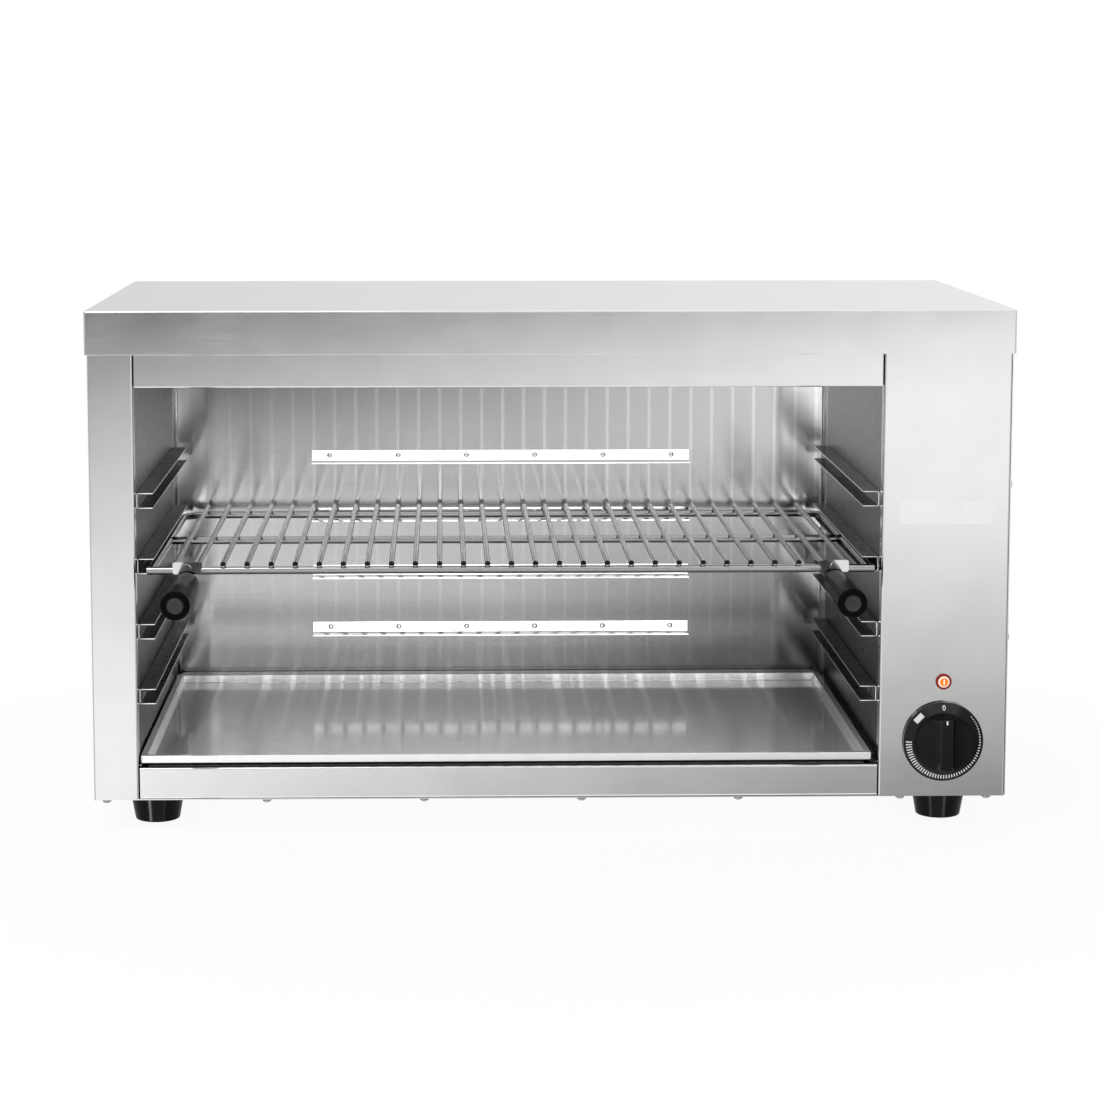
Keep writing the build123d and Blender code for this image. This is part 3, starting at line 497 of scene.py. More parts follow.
@dataclass(frozen=True)
class CutEdgeSteel(SheetSteel):
    """Dark mill sheet of the runners, with a painted highlight on its cut edges and painted light that makes
    it paler inside, against the wall.
    """

    cut_edge_highlight_tint: Colour = (0.92, 0.92, 0.915)
    edge_depth: float = 0.008
    wall_painted_light_share: float = 0.5
    edge_turn: float = 0.7

    def edges(self, sheet: NodeSheet) -> Socket:
        """Find the cut edges at the ends and along the free sides, and the upright against the wall.

        Args:
            sheet: the material's node tree.

        Returns:
            1 on a cut edge, the wall's share on the upright and 0 elsewhere.
        """
        left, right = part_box("left_liner"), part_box("right_liner")
        middle = (left[1].x + right[0].x) / 2.0
        reach = (right[0].x - left[1].x) / 2.0 - self.edge_depth
        turn = sheet.add("ShaderNodeSeparateXYZ", {0: sheet.vector("ABSOLUTE", sheet.normal())}).outputs
        ends = sheet.calc("GREATER_THAN", turn["Y"], self.edge_turn)
        sideways = sheet.calc("GREATER_THAN", turn["X"], self.edge_turn)
        away = sheet.calc("ABSOLUTE", sheet.calc("SUBTRACT", sheet.spot()["X"], middle))
        inward = sheet.calc("LESS_THAN", away, reach)
        bright = sheet.spread(inward, self.wall_painted_light_share, 1.0, 0.0, 1.0)
        return sheet.calc("MAXIMUM", ends, sheet.calc("MULTIPLY", sideways, bright))

    def shade(self, sheet: NodeSheet, clouds: Socket) -> Socket:
        """Return the sheet's colour, with painted highlights on the cut edges and painted light on the
        upright against the wall.
        """
        # Painted highlight on the cut edges, and painted light on the upright against the wall.
        return sheet.blend(self.edges(sheet), super().shade(sheet, clouds), self.cut_edge_highlight_tint)


@dataclass(frozen=True)
class PlatedWire(Finish):
    """Bright plating over drawn wire or turned steel."""

    tint: Colour
    roughness: float
    spot_size: float = 0.004
    spot_detail: float = 3.0
    spot_spread: float = 0.03
    spot_shade: float = 0.93

    def shade(self, sheet: NodeSheet, spots: Socket) -> Socket:
        """Return the plating's colour, a little duller in spots."""
        dull = tuple(c * self.spot_shade for c in self.tint)
        return sheet.blend(sheet.spread(spots, 0.0, 1.0), dull, self.tint)

    def paint(self, sheet: NodeSheet) -> Socket:
        """Lay small spots of duller plating.

        Args:
            sheet: the material's node tree.

        Returns:
            The surface.
        """
        spots = sheet.noise(sheet.place(), self.spot_size, self.spot_detail)
        smooth, rough = self.roughness - self.spot_spread, self.roughness + self.spot_spread
        return sheet.principled({
            "Base Color": self.shade(sheet, spots),
            "Metallic": 1.0,
            "Roughness": sheet.spread(spots, smooth, rough),
        })


@dataclass(frozen=True)
class CutWire(PlatedWire):
    """Plated wire of the rack, with painted shade low in front and on its flanks, and dark at its rungs'
    front ends.
    """

    dark_end_and_shade_tint: Colour = (0.02, 0.02, 0.02)
    rung_height: float = 0.2322
    end_turn: tuple[float, float] = (0.7, 0.9)
    flank_shade: float = 0.3
    flank_turn: tuple[float, float] = (0.3, 0.75)
    under_shade: float = 0.2
    under_turn: tuple[float, float] = (0.05, 0.45)
    ahead_turn: float = -0.02

    def shade(self, sheet: NodeSheet, spots: Socket) -> Socket:
        """Paint shade on the flanks and the front's lower side, and darken what faces forwards above the
        front bar.

        Args:
            sheet: the material's node tree.
            spots: where the plating is duller.

        Returns:
            The wire's colour.
        """
        normal = sheet.normal()
        towards = sheet.vector("DOT_PRODUCT", normal, (0.0, -1.0, 0.0))
        forwards = sheet.spread(towards, 0.0, 1.0, *self.end_turn)
        above = sheet.calc("GREATER_THAN", sheet.spot()["Z"], self.rung_height)
        ends = sheet.calc("MULTIPLY", forwards, above)
        # Painted shade on the flanks and, below, on the front's lower side.
        side = sheet.calc("ABSOLUTE", sheet.vector("DOT_PRODUCT", normal, (1.0, 0.0, 0.0)))
        flank = sheet.spread(side, 1.0, self.flank_shade, *self.flank_turn)
        down = sheet.vector("DOT_PRODUCT", normal, (0.0, 0.0, -1.0))
        back = sheet.vector("DOT_PRODUCT", normal, (0.0, 1.0, 0.0))
        ahead = sheet.calc("LESS_THAN", back, self.ahead_turn)
        low = sheet.calc("MULTIPLY", sheet.spread(down, 0.0, 1.0, *self.under_turn), ahead)
        kept = sheet.calc("MULTIPLY", flank, sheet.spread(low, 1.0, self.under_shade, 0.0, 1.0))
        wire = sheet.blend(kept, self.dark_end_and_shade_tint, super().shade(sheet, spots))
        return sheet.blend(ends, wire, self.dark_end_and_shade_tint)


@dataclass(frozen=True)
class Moulded(Finish):
    """Moulded plastic, rubber or ceramic with a fine skin."""

    tint: Colour
    roughness: float
    skin_size: float = 0.0007
    skin_depth: float = 0.00002
    skin_strength: float = 0.25
    skin_detail: float = 3.0
    worn_share: float = 0.75
    worn_scale: float = 40.0
    worn_detail: float = 4.0
    worn_spread: float = 0.04
    specular: float = 0.5

    def paint(self, sheet: NodeSheet) -> Socket:
        """Lay the skin's fine bumps and a faint change of colour.

        Args:
            sheet: the material's node tree.

        Returns:
            The surface.
        """
        place = sheet.place()
        skin = sheet.noise(place, self.skin_size, self.skin_detail)
        patches = sheet.noise(place, self.skin_size * self.worn_scale, self.worn_detail)
        worn = tuple(c * self.worn_share for c in self.tint)
        smooth, rough = self.roughness - self.worn_spread, self.roughness + self.worn_spread
        return sheet.principled({
            "Base Color": sheet.blend(sheet.spread(patches, 0.0, 1.0), worn, self.tint),
            "Roughness": sheet.spread(patches, smooth, rough),
            "Specular IOR Level": self.specular,
            "Normal": sheet.bump(skin, self.skin_depth, self.skin_strength),
        })


@dataclass(frozen=True)
class HeatedSheath(Finish):
    """Element tube that heat has coloured in dark bands."""

    cold: Colour
    hot: Colour
    band_size: float = 0.05
    band_detail: float = 4.0
    roughness: tuple[float, float] = (0.42, 0.58)
    metallic: float = 0.8

    def paint(self, sheet: NodeSheet) -> Socket:
        """Lay soft bands of oxide along the tube.

        Args:
            sheet: the material's node tree.

        Returns:
            The surface.
        """
        bands = sheet.noise(sheet.place(), self.band_size, self.band_detail)
        return sheet.principled({
            "Base Color": sheet.blend(sheet.spread(bands, 0.0, 1.0), self.cold, self.hot),
            "Metallic": self.metallic,
            "Roughness": sheet.spread(bands, *self.roughness),
        })


@dataclass(frozen=True)
class LitLens(Finish):
    """Lens and bezel of the pilot lamp: amber round a pale upright glow, a pale ring and a red edge."""

    centre: Place
    radius: float
    core: Colour = (1.0, 0.9, 0.8)
    field_tint: Colour = (1.0, 0.24, 0.0)
    ring: Colour = (1.0, 0.85, 0.74)
    edge: Colour = (0.24, 0.02, 0.01)
    field_end: float = 0.48
    ring_shares: tuple[float, float] = (0.54, 0.66)
    edge_shares: tuple[float, float] = (0.74, 0.8)
    core_half_width: float = 0.0008
    core_half_height: float = 0.0026
    core_blur: tuple[float, float] = (0.8, 1.1)
    edge_blur: tuple[float, float] = (0.68, 0.74)
    glow: float = 0.9
    skin: float = 0.12
    roughness: float = 0.18
    specular: float = 0.2

    def paint(self, sheet: NodeSheet) -> Socket:
        """Lay rings of colour round the lens's axis, which glow.

        Args:
            sheet: the material's node tree.

        Returns:
            The surface.
        """
        offset = sheet.vector("SUBTRACT", sheet.place(), self.centre)
        flat = sheet.vector("MULTIPLY", offset, (1.0, 0.0, 1.0))
        share = sheet.calc("DIVIDE", sheet.vector("LENGTH", flat), self.radius)
        ramp = sheet.add("ShaderNodeValToRGB", {0: share})
        ring_start, ring_end = self.ring_shares
        edge_start, edge_end = self.edge_shares
        stops = ((0.0, self.field_tint), (self.field_end, self.field_tint), (ring_start, self.ring),
                 (ring_end, self.ring), (edge_start, self.edge), (edge_end, BLACK))
        elements = ramp.color_ramp.elements
        while len(elements) < len(stops):
            elements.new(1.0)
        for element, (position, tint) in zip(elements, stops):
            element.position = position
            element.color = (*tint, 1.0)
        narrow = (1.0 / self.core_half_width, 0.0, 1.0 / self.core_half_height)
        inside = sheet.vector("LENGTH", sheet.vector("MULTIPLY", offset, narrow))
        light = sheet.blend(sheet.spread(inside, 1.0, 0.0, *self.core_blur), ramp.outputs[0], self.core)
        base = sheet.blend(self.skin, BLACK, light)
        return sheet.principled({
            "Base Color": sheet.blend(sheet.spread(share, 0.0, 1.0, *self.edge_blur), base, self.edge),
            "Roughness": self.roughness,
            "Specular IOR Level": self.specular,
            "Emission Color": light,
            "Emission Strength": self.glow,
        })


@dataclass(frozen=True)
class Wool(Finish):
    """Mineral wool: matt and fibrous."""

    pale: Colour
    deep: Colour
    fibre_size: float = 0.003
    fibre_detail: float = 6.0
    fibre_depth: float = 0.001
    fibre_strength: float = 0.8
    roughness: float = 0.95

    def paint(self, sheet: NodeSheet) -> Socket:
        """Lay tangled fibres.

        Args:
            sheet: the material's node tree.

        Returns:
            The surface.
        """
        fibres = sheet.noise(sheet.place(), self.fibre_size, self.fibre_detail)
        return sheet.principled({
            "Base Color": sheet.blend(sheet.spread(fibres, 0.0, 1.0), self.deep, self.pale),
            "Roughness": self.roughness,
            "Normal": sheet.bump(fibres, self.fibre_depth, self.fibre_strength),
        })


CASING = SheetSteel("finish_casing", (0.88, 0.88, 0.875), 0.1, 0.5, scratch_spread=0.02, cloud_spread=0.01)
# Front rail: painted shade on its top in front of the tray.
RAIL = RailSteel("finish_rail", (0.88, 0.88, 0.875), 0.1, 0.5, scratch_spread=0.02, cloud_spread=0.01)
# Rear wall: painted reflections of the rungs as streaks, and painted shade at two corners and the foot.
REAR_LINER = PaintedReflectionSteel(
    "finish_rear_liner", (0.7, 0.7, 0.695), 0.115, 1.0, scratch_width=0.0006, scratch_spread=0.03,
    cloud_size=0.08, cloud_spread=0.01,
)
# Side walls: painted shade towards the floor and a painted highlight along the rear edge.
SIDE_LINER = FloorShadePaintedSteel(
    "finish_side_liner", (0.46, 0.46, 0.455), 0.34, 0.3, scratch_spread=0.03, cloud_size=0.012,
    cloud_spread=0.08, cloud_shade=0.4,
)
ROOF = SheetSteel(
    "finish_roof", (0.75, 0.74, 0.72), 0.42, 0.3, cloud_size=0.04, cloud_shade=0.8, metallic=0.2
)
# Runners: painted highlights on their cut edges and painted light on their uprights.
RUNNER = CutEdgeSteel(
    "finish_runner", (0.21, 0.21, 0.21), 0.3, 0.5, cloud_size=0.01, cloud_spread=0.04, cloud_shade=0.6
)
LEDGE = LeaningSteel("finish_ledge", (0.97, 0.97, 0.965), 0.07, 1.0, scratch_spread=0.02)
# Tray: painted reflections as streaks that run back, with painted shade between them.
TRAY = PaintedStreakTraySteel(
    "finish_tray", (0.95, 0.95, 0.945), 0.08, 0.6, scratch_spread=0.02, cloud_size=0.03, cloud_spread=0.01,
    metallic=0.75,
)
CHROME = PlatedWire("finish_chrome", (0.92, 0.92, 0.92), 0.08)
# Rack wire: painted shade on its flanks and low in front.
RACK_WIRE = CutWire("finish_rack_wire", (0.47, 0.47, 0.475), 0.07)
PLATED = PlatedWire("finish_plated", (0.66, 0.66, 0.65), 0.24, spot_size=0.002, spot_spread=0.06)
SCREW = PlatedWire("finish_screw", (0.42, 0.42, 0.41), 0.26, spot_size=0.002, spot_spread=0.06)
PHENOLIC = Moulded("finish_phenolic", (0.002, 0.002, 0.0022), 0.15, skin_depth=0.000004, specular=0.2)
HANDLE = Moulded("finish_handle", (0.005, 0.005, 0.0054), 0.3, specular=0.01)
PLUG = Moulded("finish_plug", (0.055, 0.055, 0.056), 0.42, worn_share=0.5, specular=0.2)
RUBBER = Moulded(
    "finish_rubber", (0.002, 0.002, 0.002), 0.17, skin_size=0.0012, skin_depth=0.00001, specular=0.12
)
INK = Moulded("finish_ink", (0.86, 0.86, 0.85), 0.5, worn_share=0.94)
FILM = Moulded("finish_film", (0.93, 0.93, 0.93), 0.3, skin_depth=0.000004, worn_share=0.98)
REGULATOR = Moulded("finish_regulator", (0.75, 0.72, 0.65), 0.5, worn_share=0.9)
CERAMIC = Moulded("finish_ceramic", (0.85, 0.84, 0.8), 0.25, worn_share=0.95)
GLAND = Moulded("finish_gland", (0.03, 0.03, 0.03), 0.5)
SHEATH = HeatedSheath("finish_sheath", (0.2, 0.19, 0.18), (0.1, 0.075, 0.06))
WOOL = Wool("finish_wool", (0.74, 0.7, 0.55), (0.5, 0.45, 0.32))


def named(start: str) -> list[str]:
    """Return the frame's nodes whose names start like that."""
    return [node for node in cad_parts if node.startswith(start)]


def coat(piece: Piece, finish: Finish) -> None:
    """Give a piece one finish all over.

    Args:
        piece: a mesh object, its own or the frame's.
        finish: what it is coated with.
    """
    if not piece.data.materials:
        piece.data.materials.append(None)
    for place in piece.material_slots:
        place.material = finish.material()


def new_piece(name: str, mesh: Mesh, finish: Finish, crease: float = 0.0) -> Piece:
    """Turn a finished mesh into an object of the scene.

    Args:
        name: the piece's name.
        mesh: its faces, in the grill's own frame; it is used up.
        finish: what it is coated with.
        crease: corner in degrees up to which its faces shade as one round surface.

    Returns:
        The new object.
    """
    bmesh.ops.recalc_face_normals(mesh, faces=mesh.faces)
    data = bpy.data.meshes.new(name)
    mesh.to_mesh(data)
    mesh.free()
    if crease > 0.0:
        data.shade_smooth()
        data.set_sharp_from_angle(angle=math.radians(crease))
    piece = bpy.data.objects.new(name, data)
    bpy.context.scene.collection.objects.link(piece)
    coat(piece, finish)
    return piece


def lead_by_wide_faces(data: bpy.types.Mesh) -> None:
    """Shade each corner as the widest faces round it lie, so that flat sheet stays flat beside a round edge.

    Args:
        data: the mesh, whose faces all shade smooth.
    """
    sums = [Vector() for _ in data.vertices]
    for face in data.polygons:
        for index in face.vertices:
            sums[index] += face.normal * face.area
    data.normals_split_custom_set_from_vertices([total.normalized() for total in sums])


def rounded_copy(node: str, finish: Finish) -> Piece:
    """Copy a node of the frame with its sharp edges rounded a little, so that they catch the light.

    Args:
        node: the frame's node, which the copy replaces.
        finish: what the copy is coated with.

    Returns:
        The copy.
    """
    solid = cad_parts[node]
    mesh = bmesh.new()
    mesh.from_mesh(solid.data)
    bmesh.ops.remove_doubles(mesh, verts=mesh.verts, dist=MERGE_DISTANCE)
    bmesh.ops.dissolve_limit(mesh, angle_limit=math.radians(FLAT_ANGLE), verts=mesh.verts, edges=mesh.edges)
    sharp = [e for e in mesh.edges if e.is_manifold and e.calc_face_angle() > math.radians(SHARP_ANGLE)]
    bmesh.ops.bevel(
        mesh, geom=sharp, offset=EDGE_ROUND, offset_type="OFFSET", segments=EDGE_STEPS,
        profile=ROUND_PROFILE, affect="EDGES", clamp_overlap=True,
    )
    made = new_piece(node + "_sheet", mesh, finish, SMOOTH_CREASE)
    lead_by_wide_faces(made.data)
    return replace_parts(made, node)


def lathe(
    mesh: Mesh, profile: Sequence[tuple[float, float]], place: Matrix, sides: int
) -> list[list[Corner]]:
    """Turn a profile about the local Z axis.

    Args:
        mesh: where the faces go.
        profile: radius and height of each ring, from end to end; a radius of zero closes an end.
        place: from the lathe's own frame to the grill's.
        sides: faces round the axis.

    Returns:
        The rings of vertices that were made.
    """
    rings = []
    for radius, height in profile:
        count = sides if radius > 0.0 else 1
        ring = []
        for i in range(count):
            angle = 2.0 * math.pi * i / sides
            spot = Vector((radius * math.cos(angle), radius * math.sin(angle), height))
            ring.append(mesh.verts.new(place @ spot))
        rings.append(ring)
    for lower, upper in zip(rings, rings[1:]):
        for i in range(sides):
            j = (i + 1) % sides
            turns = ((lower, i), (lower, j), (upper, j), (upper, i))
            corners = [ring[k % len(ring)] for ring, k in turns]
            mesh.faces.new(list(dict.fromkeys(corners)))
    return rings


def band(mesh: Mesh, first: Sequence[Corner], second: Sequence[Corner]) -> None:
    """Join two closed outlines by a band of faces.

    Args:
        mesh: where the faces go.
        first: one outline's corners.
        second: the other's, as many and in the same order.
    """
    for i in range(len(first)):
        j = (i + 1) % len(first)
        mesh.faces.new((first[i], first[j], second[j], second[i]))


def slab(mesh: Mesh, first: Sequence[Corner], second: Sequence[Corner]) -> None:
    """Close the space between two outlines.

    Args:
        mesh: where the faces go.
        first: the corners of the slab's one face.
        second: those of its other face, as many and in the same order.
    """
    mesh.faces.new(first)
    mesh.faces.new(second)
    band(mesh, first, second)


def facing(spot: Vector, outward: Vector) -> Matrix:
    """Return a frame at a spot whose Z axis points outward."""
    return Matrix.Translation(spot) @ outward.to_track_quat("Z", "Y").to_matrix().to_4x4()


def repeats(node: str, outward: Vector, reach: float) -> Iterator[Vector]:
    """Find where the copies of one fastener sit in a node that holds several.

    Args:
        node: the frame's node.
        outward: direction in which their heads point.
        reach: more than one's width and less than the distance between two.

    Yields:
        The foremost point on each one's axis.
    """
    groups: list[list[Vector]] = []
    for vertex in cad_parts[node].data.vertices:
        flat = vertex.co - outward * vertex.co.dot(outward)
        for group in groups:
            start = group[0] - outward * group[0].dot(outward)
            if (flat - start).length < reach:
                group.append(vertex.co.copy())
                break
        else:
            groups.append([vertex.co.copy()])
    for group in groups:
        sides = list(zip(*group))
        middle = (Vector(map(min, sides)) + Vector(map(max, sides))) / 2.0
        front = max(point.dot(outward) for point in group)
        yield middle + outward * (front - middle.dot(outward))


class Assembly(ABC):
    """A group of pieces on one body of the grill."""

    body: Body

    @abstractmethod
    def finishes(self) -> Mapping[Finish, Iterable[str]]:
        """Return the frame's nodes that keep their shape, under the finish that each takes."""

    def sheets(self) -> Iterable[str]:
        """Return the nodes of sheet metal, whose edges are rounded; none unless an assembly says so."""
        return ()

    def extras(self) -> Iterator[Piece]:
        """Yield the pieces that are added to the frame's nodes; none unless an assembly says so."""
        return iter(())

    def build(self) -> None:
        """Coat the frame's nodes, make the added pieces and let them ride on the body."""
        sheets = set(self.sheets())
        for finish, nodes in self.finishes().items():
            for node in nodes:
                if node in sheets:
                    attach(rounded_copy(node, finish), self.body.value)
                coat(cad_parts[node], finish)
                log.info("%s: %s takes %s", self.body.value, node, finish.name)
        for piece in self.extras():
            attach(piece, self.body.value)
            log.info("%s: made %s with %d faces", self.body.value, piece.name, len(piece.data.polygons))


@dataclass
class CrossHeadScrews:
    """Pan head screws with cross recesses, standing for a node of plain ones."""

    node: str
    outward: Vector
    head_height: float
    proud: float = 0.0
    head_radius: float = 0.004
    shank_radius: float = 0.002
    shank_length: float = 0.008
    recess_share: float = 0.5
    arm_length_share: float = 0.56
    arm_width_share: float = 0.17
    arm_slope: float = 0.5
    rim_share: float = 0.55
    dome_power: float = 2.6
    rings: int = 14
    sides: int = 48

    def arm(self, run: float, side: float) -> float:
        """Find how far a spot lies inside one arm of the cross.

        Args:
            run: metres from the head's axis along the arm.
            side: metres across it.

        Returns:
            0 outside, 1 well inside.
        """
        length = self.arm_length_share * self.head_radius
        width = self.arm_width_share * self.head_radius
        inside = min((length - abs(run)) / width, (width - abs(side)) / (self.arm_slope * width))
        return max(0.0, min(1.0, inside))

    def recess(self, spot: Vector) -> float:
        """Find the depth of the cross recess at a spot of the head's own plane.

        Args:
            spot: place on the head, in metres from its axis.

        Returns:
            The depth in metres.
        """
        inside = max(self.arm(spot.x, spot.y), self.arm(spot.y, spot.x))
        return self.recess_share * self.head_height * inside

    def piece(self) -> Piece:
        """Build every screw of the node.

        Returns:
            One object with all of them.
        """
        mesh = bmesh.new()
        shares = [1.0 - i / self.rings for i in range(self.rings + 1)]
        for tip in repeats(self.node, self.outward, FASTENER_REACH * self.head_radius):
            seat = facing(tip + self.outward * (self.proud - self.head_height), self.outward)
            dome = []
            for share in shares:
                fall = (1.0 - self.rim_share) * share ** self.dome_power
                dome.append((share * self.head_radius, self.head_height * (1.0 - fall)))
            under = [
                (0.0, -self.shank_length),
                (self.shank_radius, -self.shank_length),
                (self.shank_radius, 0.0),
                (self.head_radius, 0.0),
            ]
            rings = lathe(mesh, under + dome, seat, self.sides)
            back = seat.inverted()
            for ring in rings[len(under):]:
                for vertex in ring:
                    vertex.co -= self.outward * self.recess(back @ vertex.co)
        made = new_piece(self.node.rstrip("s") + "_heads", mesh, SCREW, ROUND_CREASE)
        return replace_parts(made, self.node)


@dataclass
class BlindRivets:
    """Domed blind rivets with a pulled stem in the middle, standing for the plain ones."""

    node: str = "ledge_rivets"
    outward: Vector = field(default_factory=lambda: Vector((0.0, -1.0, 0.0)))
    head_radius: float = 0.0028
    head_height: float = 0.0013
    shank_radius: float = 0.0016
    shank_length: float = 0.0035
    rim_share: float = 0.25
    shoulder_shares: tuple[float, float] = (0.86, 0.6)
    crown_shares: tuple[float, float] = (0.62, 0.9)
    stem_radius: float = 0.001
    stem_depth: float = 0.0006
    stem_flare: float = 1.1
    sides: int = 28

    def piece(self) -> Piece:
        """Build every rivet of the node.

        Returns:
            One object with all of them.
        """
        dome = [
            (across * self.head_radius, up * self.head_height)
            for across, up in ((1.0, self.rim_share), self.shoulder_shares, self.crown_shares)
        ]
        profile = [
            (0.0, -self.shank_length),
            (self.shank_radius, -self.shank_length),
            (self.shank_radius, 0.0),
            (self.head_radius, 0.0),
            *dome,
            (self.stem_flare * self.stem_radius, self.head_height),
            (self.stem_radius, self.head_height - self.stem_depth),
            (0.0, self.head_height - self.stem_depth),
        ]
        mesh = bmesh.new()
        for tip in repeats(self.node, self.outward, FASTENER_REACH * self.head_radius):
            lathe(mesh, profile, facing(tip - self.outward * self.head_height, self.outward), self.sides)
        made = new_piece("ledge_rivet_heads", mesh, CHROME, ROUND_CREASE)
        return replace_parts(made, self.node)


@dataclass
class Cabinet(Assembly):
    """Casing, liners, runners, elements, feet and everything else that stands still."""

    body: Body = Body.CABINET
    plate_width: float = 0.081
    plate_height: float = 0.0205
    plate_thickness: float = 0.0004
    plate_corner: float = 0.001
    plate_middle_height: float = 0.279
    corner_steps: int = 4

    def finishes(self) -> Mapping[Finish, Iterable[str]]:
        """Return the cabinet's nodes under their finishes."""
        return {
            CASING: ("top_cover", "left_casing", "right_casing", "control_panel", "header_rail", "base_plate",
                     "back_panel"),
            RAIL: ("cavity_floor",),
            REAR_LINER: ("rear_liner",),
            SIDE_LINER: ("left_liner", "right_liner"),
            ROOF: ("roof_reflector",),
            RUNNER: named("runner_"),
            LEDGE: named("rear_ledge_"),
            PLATED: ("element_bushes", "element_hanger", "regulator_nut", "pilot_lamp_clip", "foot_bolts",
                     "foot_nuts"),
            SHEATH: named("heating_element_"),
            RUBBER: FEET,
            REGULATOR: ("energy_regulator",),
            CERAMIC: ("terminal_block",),
            GLAND: ("cable_gland", "gland_nut"),
            WOOL: ("roof_insulation",),
        }

    def sheets(self) -> Iterable[str]:
        """Return the cover, the header rail and the runners."""
        return ["top_cover", "header_rail", *named("runner_")]

    def bare_plate(self) -> Piece:
        """Build the bare plate on the control panel.

        Returns:
            A thin plate with round corners.
        """
        low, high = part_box("control_panel")
        middle = Vector(((low.x + high.x) / 2.0, low.y, self.plate_middle_height))
        half_x = self.plate_width / 2.0 - self.plate_corner
        half_z = self.plate_height / 2.0 - self.plate_corner
        outline = []
        for quarter, (side_x, side_z) in enumerate(((1, 1), (-1, 1), (-1, -1), (1, -1))):
            for step in range(self.corner_steps + 1):
                angle = (quarter + step / self.corner_steps) * math.pi / 2.0
                outline.append(Vector((
                    side_x * half_x + self.plate_corner * math.cos(angle),
                    0.0,
                    side_z * half_z + self.plate_corner * math.sin(angle),
                )))
        mesh = bmesh.new()
        back = [mesh.verts.new(middle + spot) for spot in outline]
        front = [mesh.verts.new(middle + spot - Vector((0.0, self.plate_thickness, 0.0))) for spot in outline]
        slab(mesh, back, front)
        return new_piece("bare_plate", mesh, FILM)

    def extras(self) -> Iterator[Piece]:
        """Build the bare plate, the screws and the rivets.

        Yields:
            Each of them in turn.
        """
        yield self.bare_plate()
        down, right, back = Vector((0.0, 0.0, -1.0)), Vector((1.0, 0.0, 0.0)), Vector((0.0, 1.0, 0.0))
        yield CrossHeadScrews("base_screws", down, head_height=0.0045, proud=0.0015).piece()
        yield CrossHeadScrews("side_screws", right, head_height=0.0019).piece()
        yield CrossHeadScrews("back_screws", back, head_height=0.003).piece()
        yield BlindRivets().piece()


@dataclass
class PilotLamp(Assembly):
    """Lit lamp in the control panel."""

    body: Body = Body.CABINET

    def finishes(self) -> Mapping[Finish, Iterable[str]]:
        """Centre the lit finish on the lamp's axis.

        Returns:
            The lamp's nodes under that finish.
        """
        low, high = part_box("pilot_lamp_bezel")
        lit = LitLens("finish_lit_lamp", tuple((low + high) / 2.0), (high.x - low.x) / 2.0)
        return {lit: ("pilot_lamp_bezel", "pilot_lamp_lens")}


@dataclass
class WireRack(Assembly):
    """Pull-out rack with its two handles."""

    body: Body = Body.RACK
    recess_radius: float = 0.0074
    recess_depth: float = 0.0012
    plug_face_radius: float = 0.0062
    plug_sink: float = 0.0003
    plug_dish_radius: float = 0.0042
    plug_dish: float = 0.00025
    plug_dish_floor: float = 0.9
    plug_mark_radius: float = 0.0005
    plug_mark_depth: float = 0.0006
    plug_mark_floor: float = 0.8
    plug_sides: int = 48

    def plug(self, side: str) -> Piece:
        """Build the plug in the end of one handle.

        Args:
            side: which handle.

        Returns:
            A low dished plug with a small mark in the middle.
        """
        low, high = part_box("rack_handle_" + side)
        end = Vector(((low.x + high.x) / 2.0, low.y, (low.z + high.z) / 2.0))
        dish = -self.plug_sink - self.plug_dish
        profile = [
            (0.0, -self.recess_depth),
            (self.recess_radius, -self.recess_depth),
            (self.plug_face_radius, -self.plug_sink),
            (self.plug_dish_radius, -self.plug_sink),
            (self.plug_dish_floor * self.plug_dish_radius, dish),
            (self.plug_mark_radius, dish),
            (self.plug_mark_floor * self.plug_mark_radius, dish - self.plug_mark_depth),
            (0.0, dish - self.plug_mark_depth),
        ]
        mesh = bmesh.new()
        lathe(mesh, profile, facing(end, Vector((0.0, -1.0, 0.0))), self.plug_sides)
        return new_piece("handle_plug_" + side, mesh, PLUG, ROUND_CREASE)

    def extras(self) -> Iterator[Piece]:
        """Yield the plugs of the two handles."""
        yield self.plug("left")
        yield self.plug("right")

    def finishes(self) -> Mapping[Finish, Iterable[str]]:
        """Return the rack's nodes under their finishes."""
        return {
            RACK_WIRE: ("wire_rack",),
            CHROME: ("handle_bracket_left", "handle_bracket_right"),
            HANDLE: ("rack_handle_left", "rack_handle_right"),
            PLATED: ("handle_studs",),
        }


@dataclass
class DripTray(Assembly):
    """Shallow tray on the cavity floor."""

    body: Body = Body.TRAY
    flange_depth: float = 0.0145
    flange_thickness: float = 0.0006
    flange_drop: float = 0.0004
    flange_inset: float = 0.004

    def flange(self) -> Piece:
        """Build the narrow flange that is turned back from the tray's rear side towards the wall.

        Returns:
            A thin strip with its rear corners cut off.
        """
        low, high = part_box("drip_tray")
        top = high.z - self.flange_drop
        near, far = high.y - self.flange_inset, high.y + self.flange_depth
        left, right = low.x + self.flange_inset, high.x - self.flange_inset
        cut = self.flange_inset
        outline = [(left, near), (right, near), (right, far - cut), (right - cut, far), (left + cut, far),
                   (left, far - cut)]
        mesh = bmesh.new()
        upper = [mesh.verts.new((x, y, top)) for x, y in outline]
        lower = [mesh.verts.new((x, y, top - self.flange_thickness)) for x, y in outline]
        slab(mesh, upper, lower)
        return new_piece("tray_flange", mesh, TRAY)

    def extras(self) -> Iterator[Piece]:
        """Yield the rear flange."""
        yield self.flange()

    def finishes(self) -> Mapping[Finish, Iterable[str]]:
        """Return the tray's node under its finish."""
        return {TRAY: ("drip_tray",)}

    def sheets(self) -> Iterable[str]:
        """Return the tray, which is one sheet."""
        return ("drip_tray",)


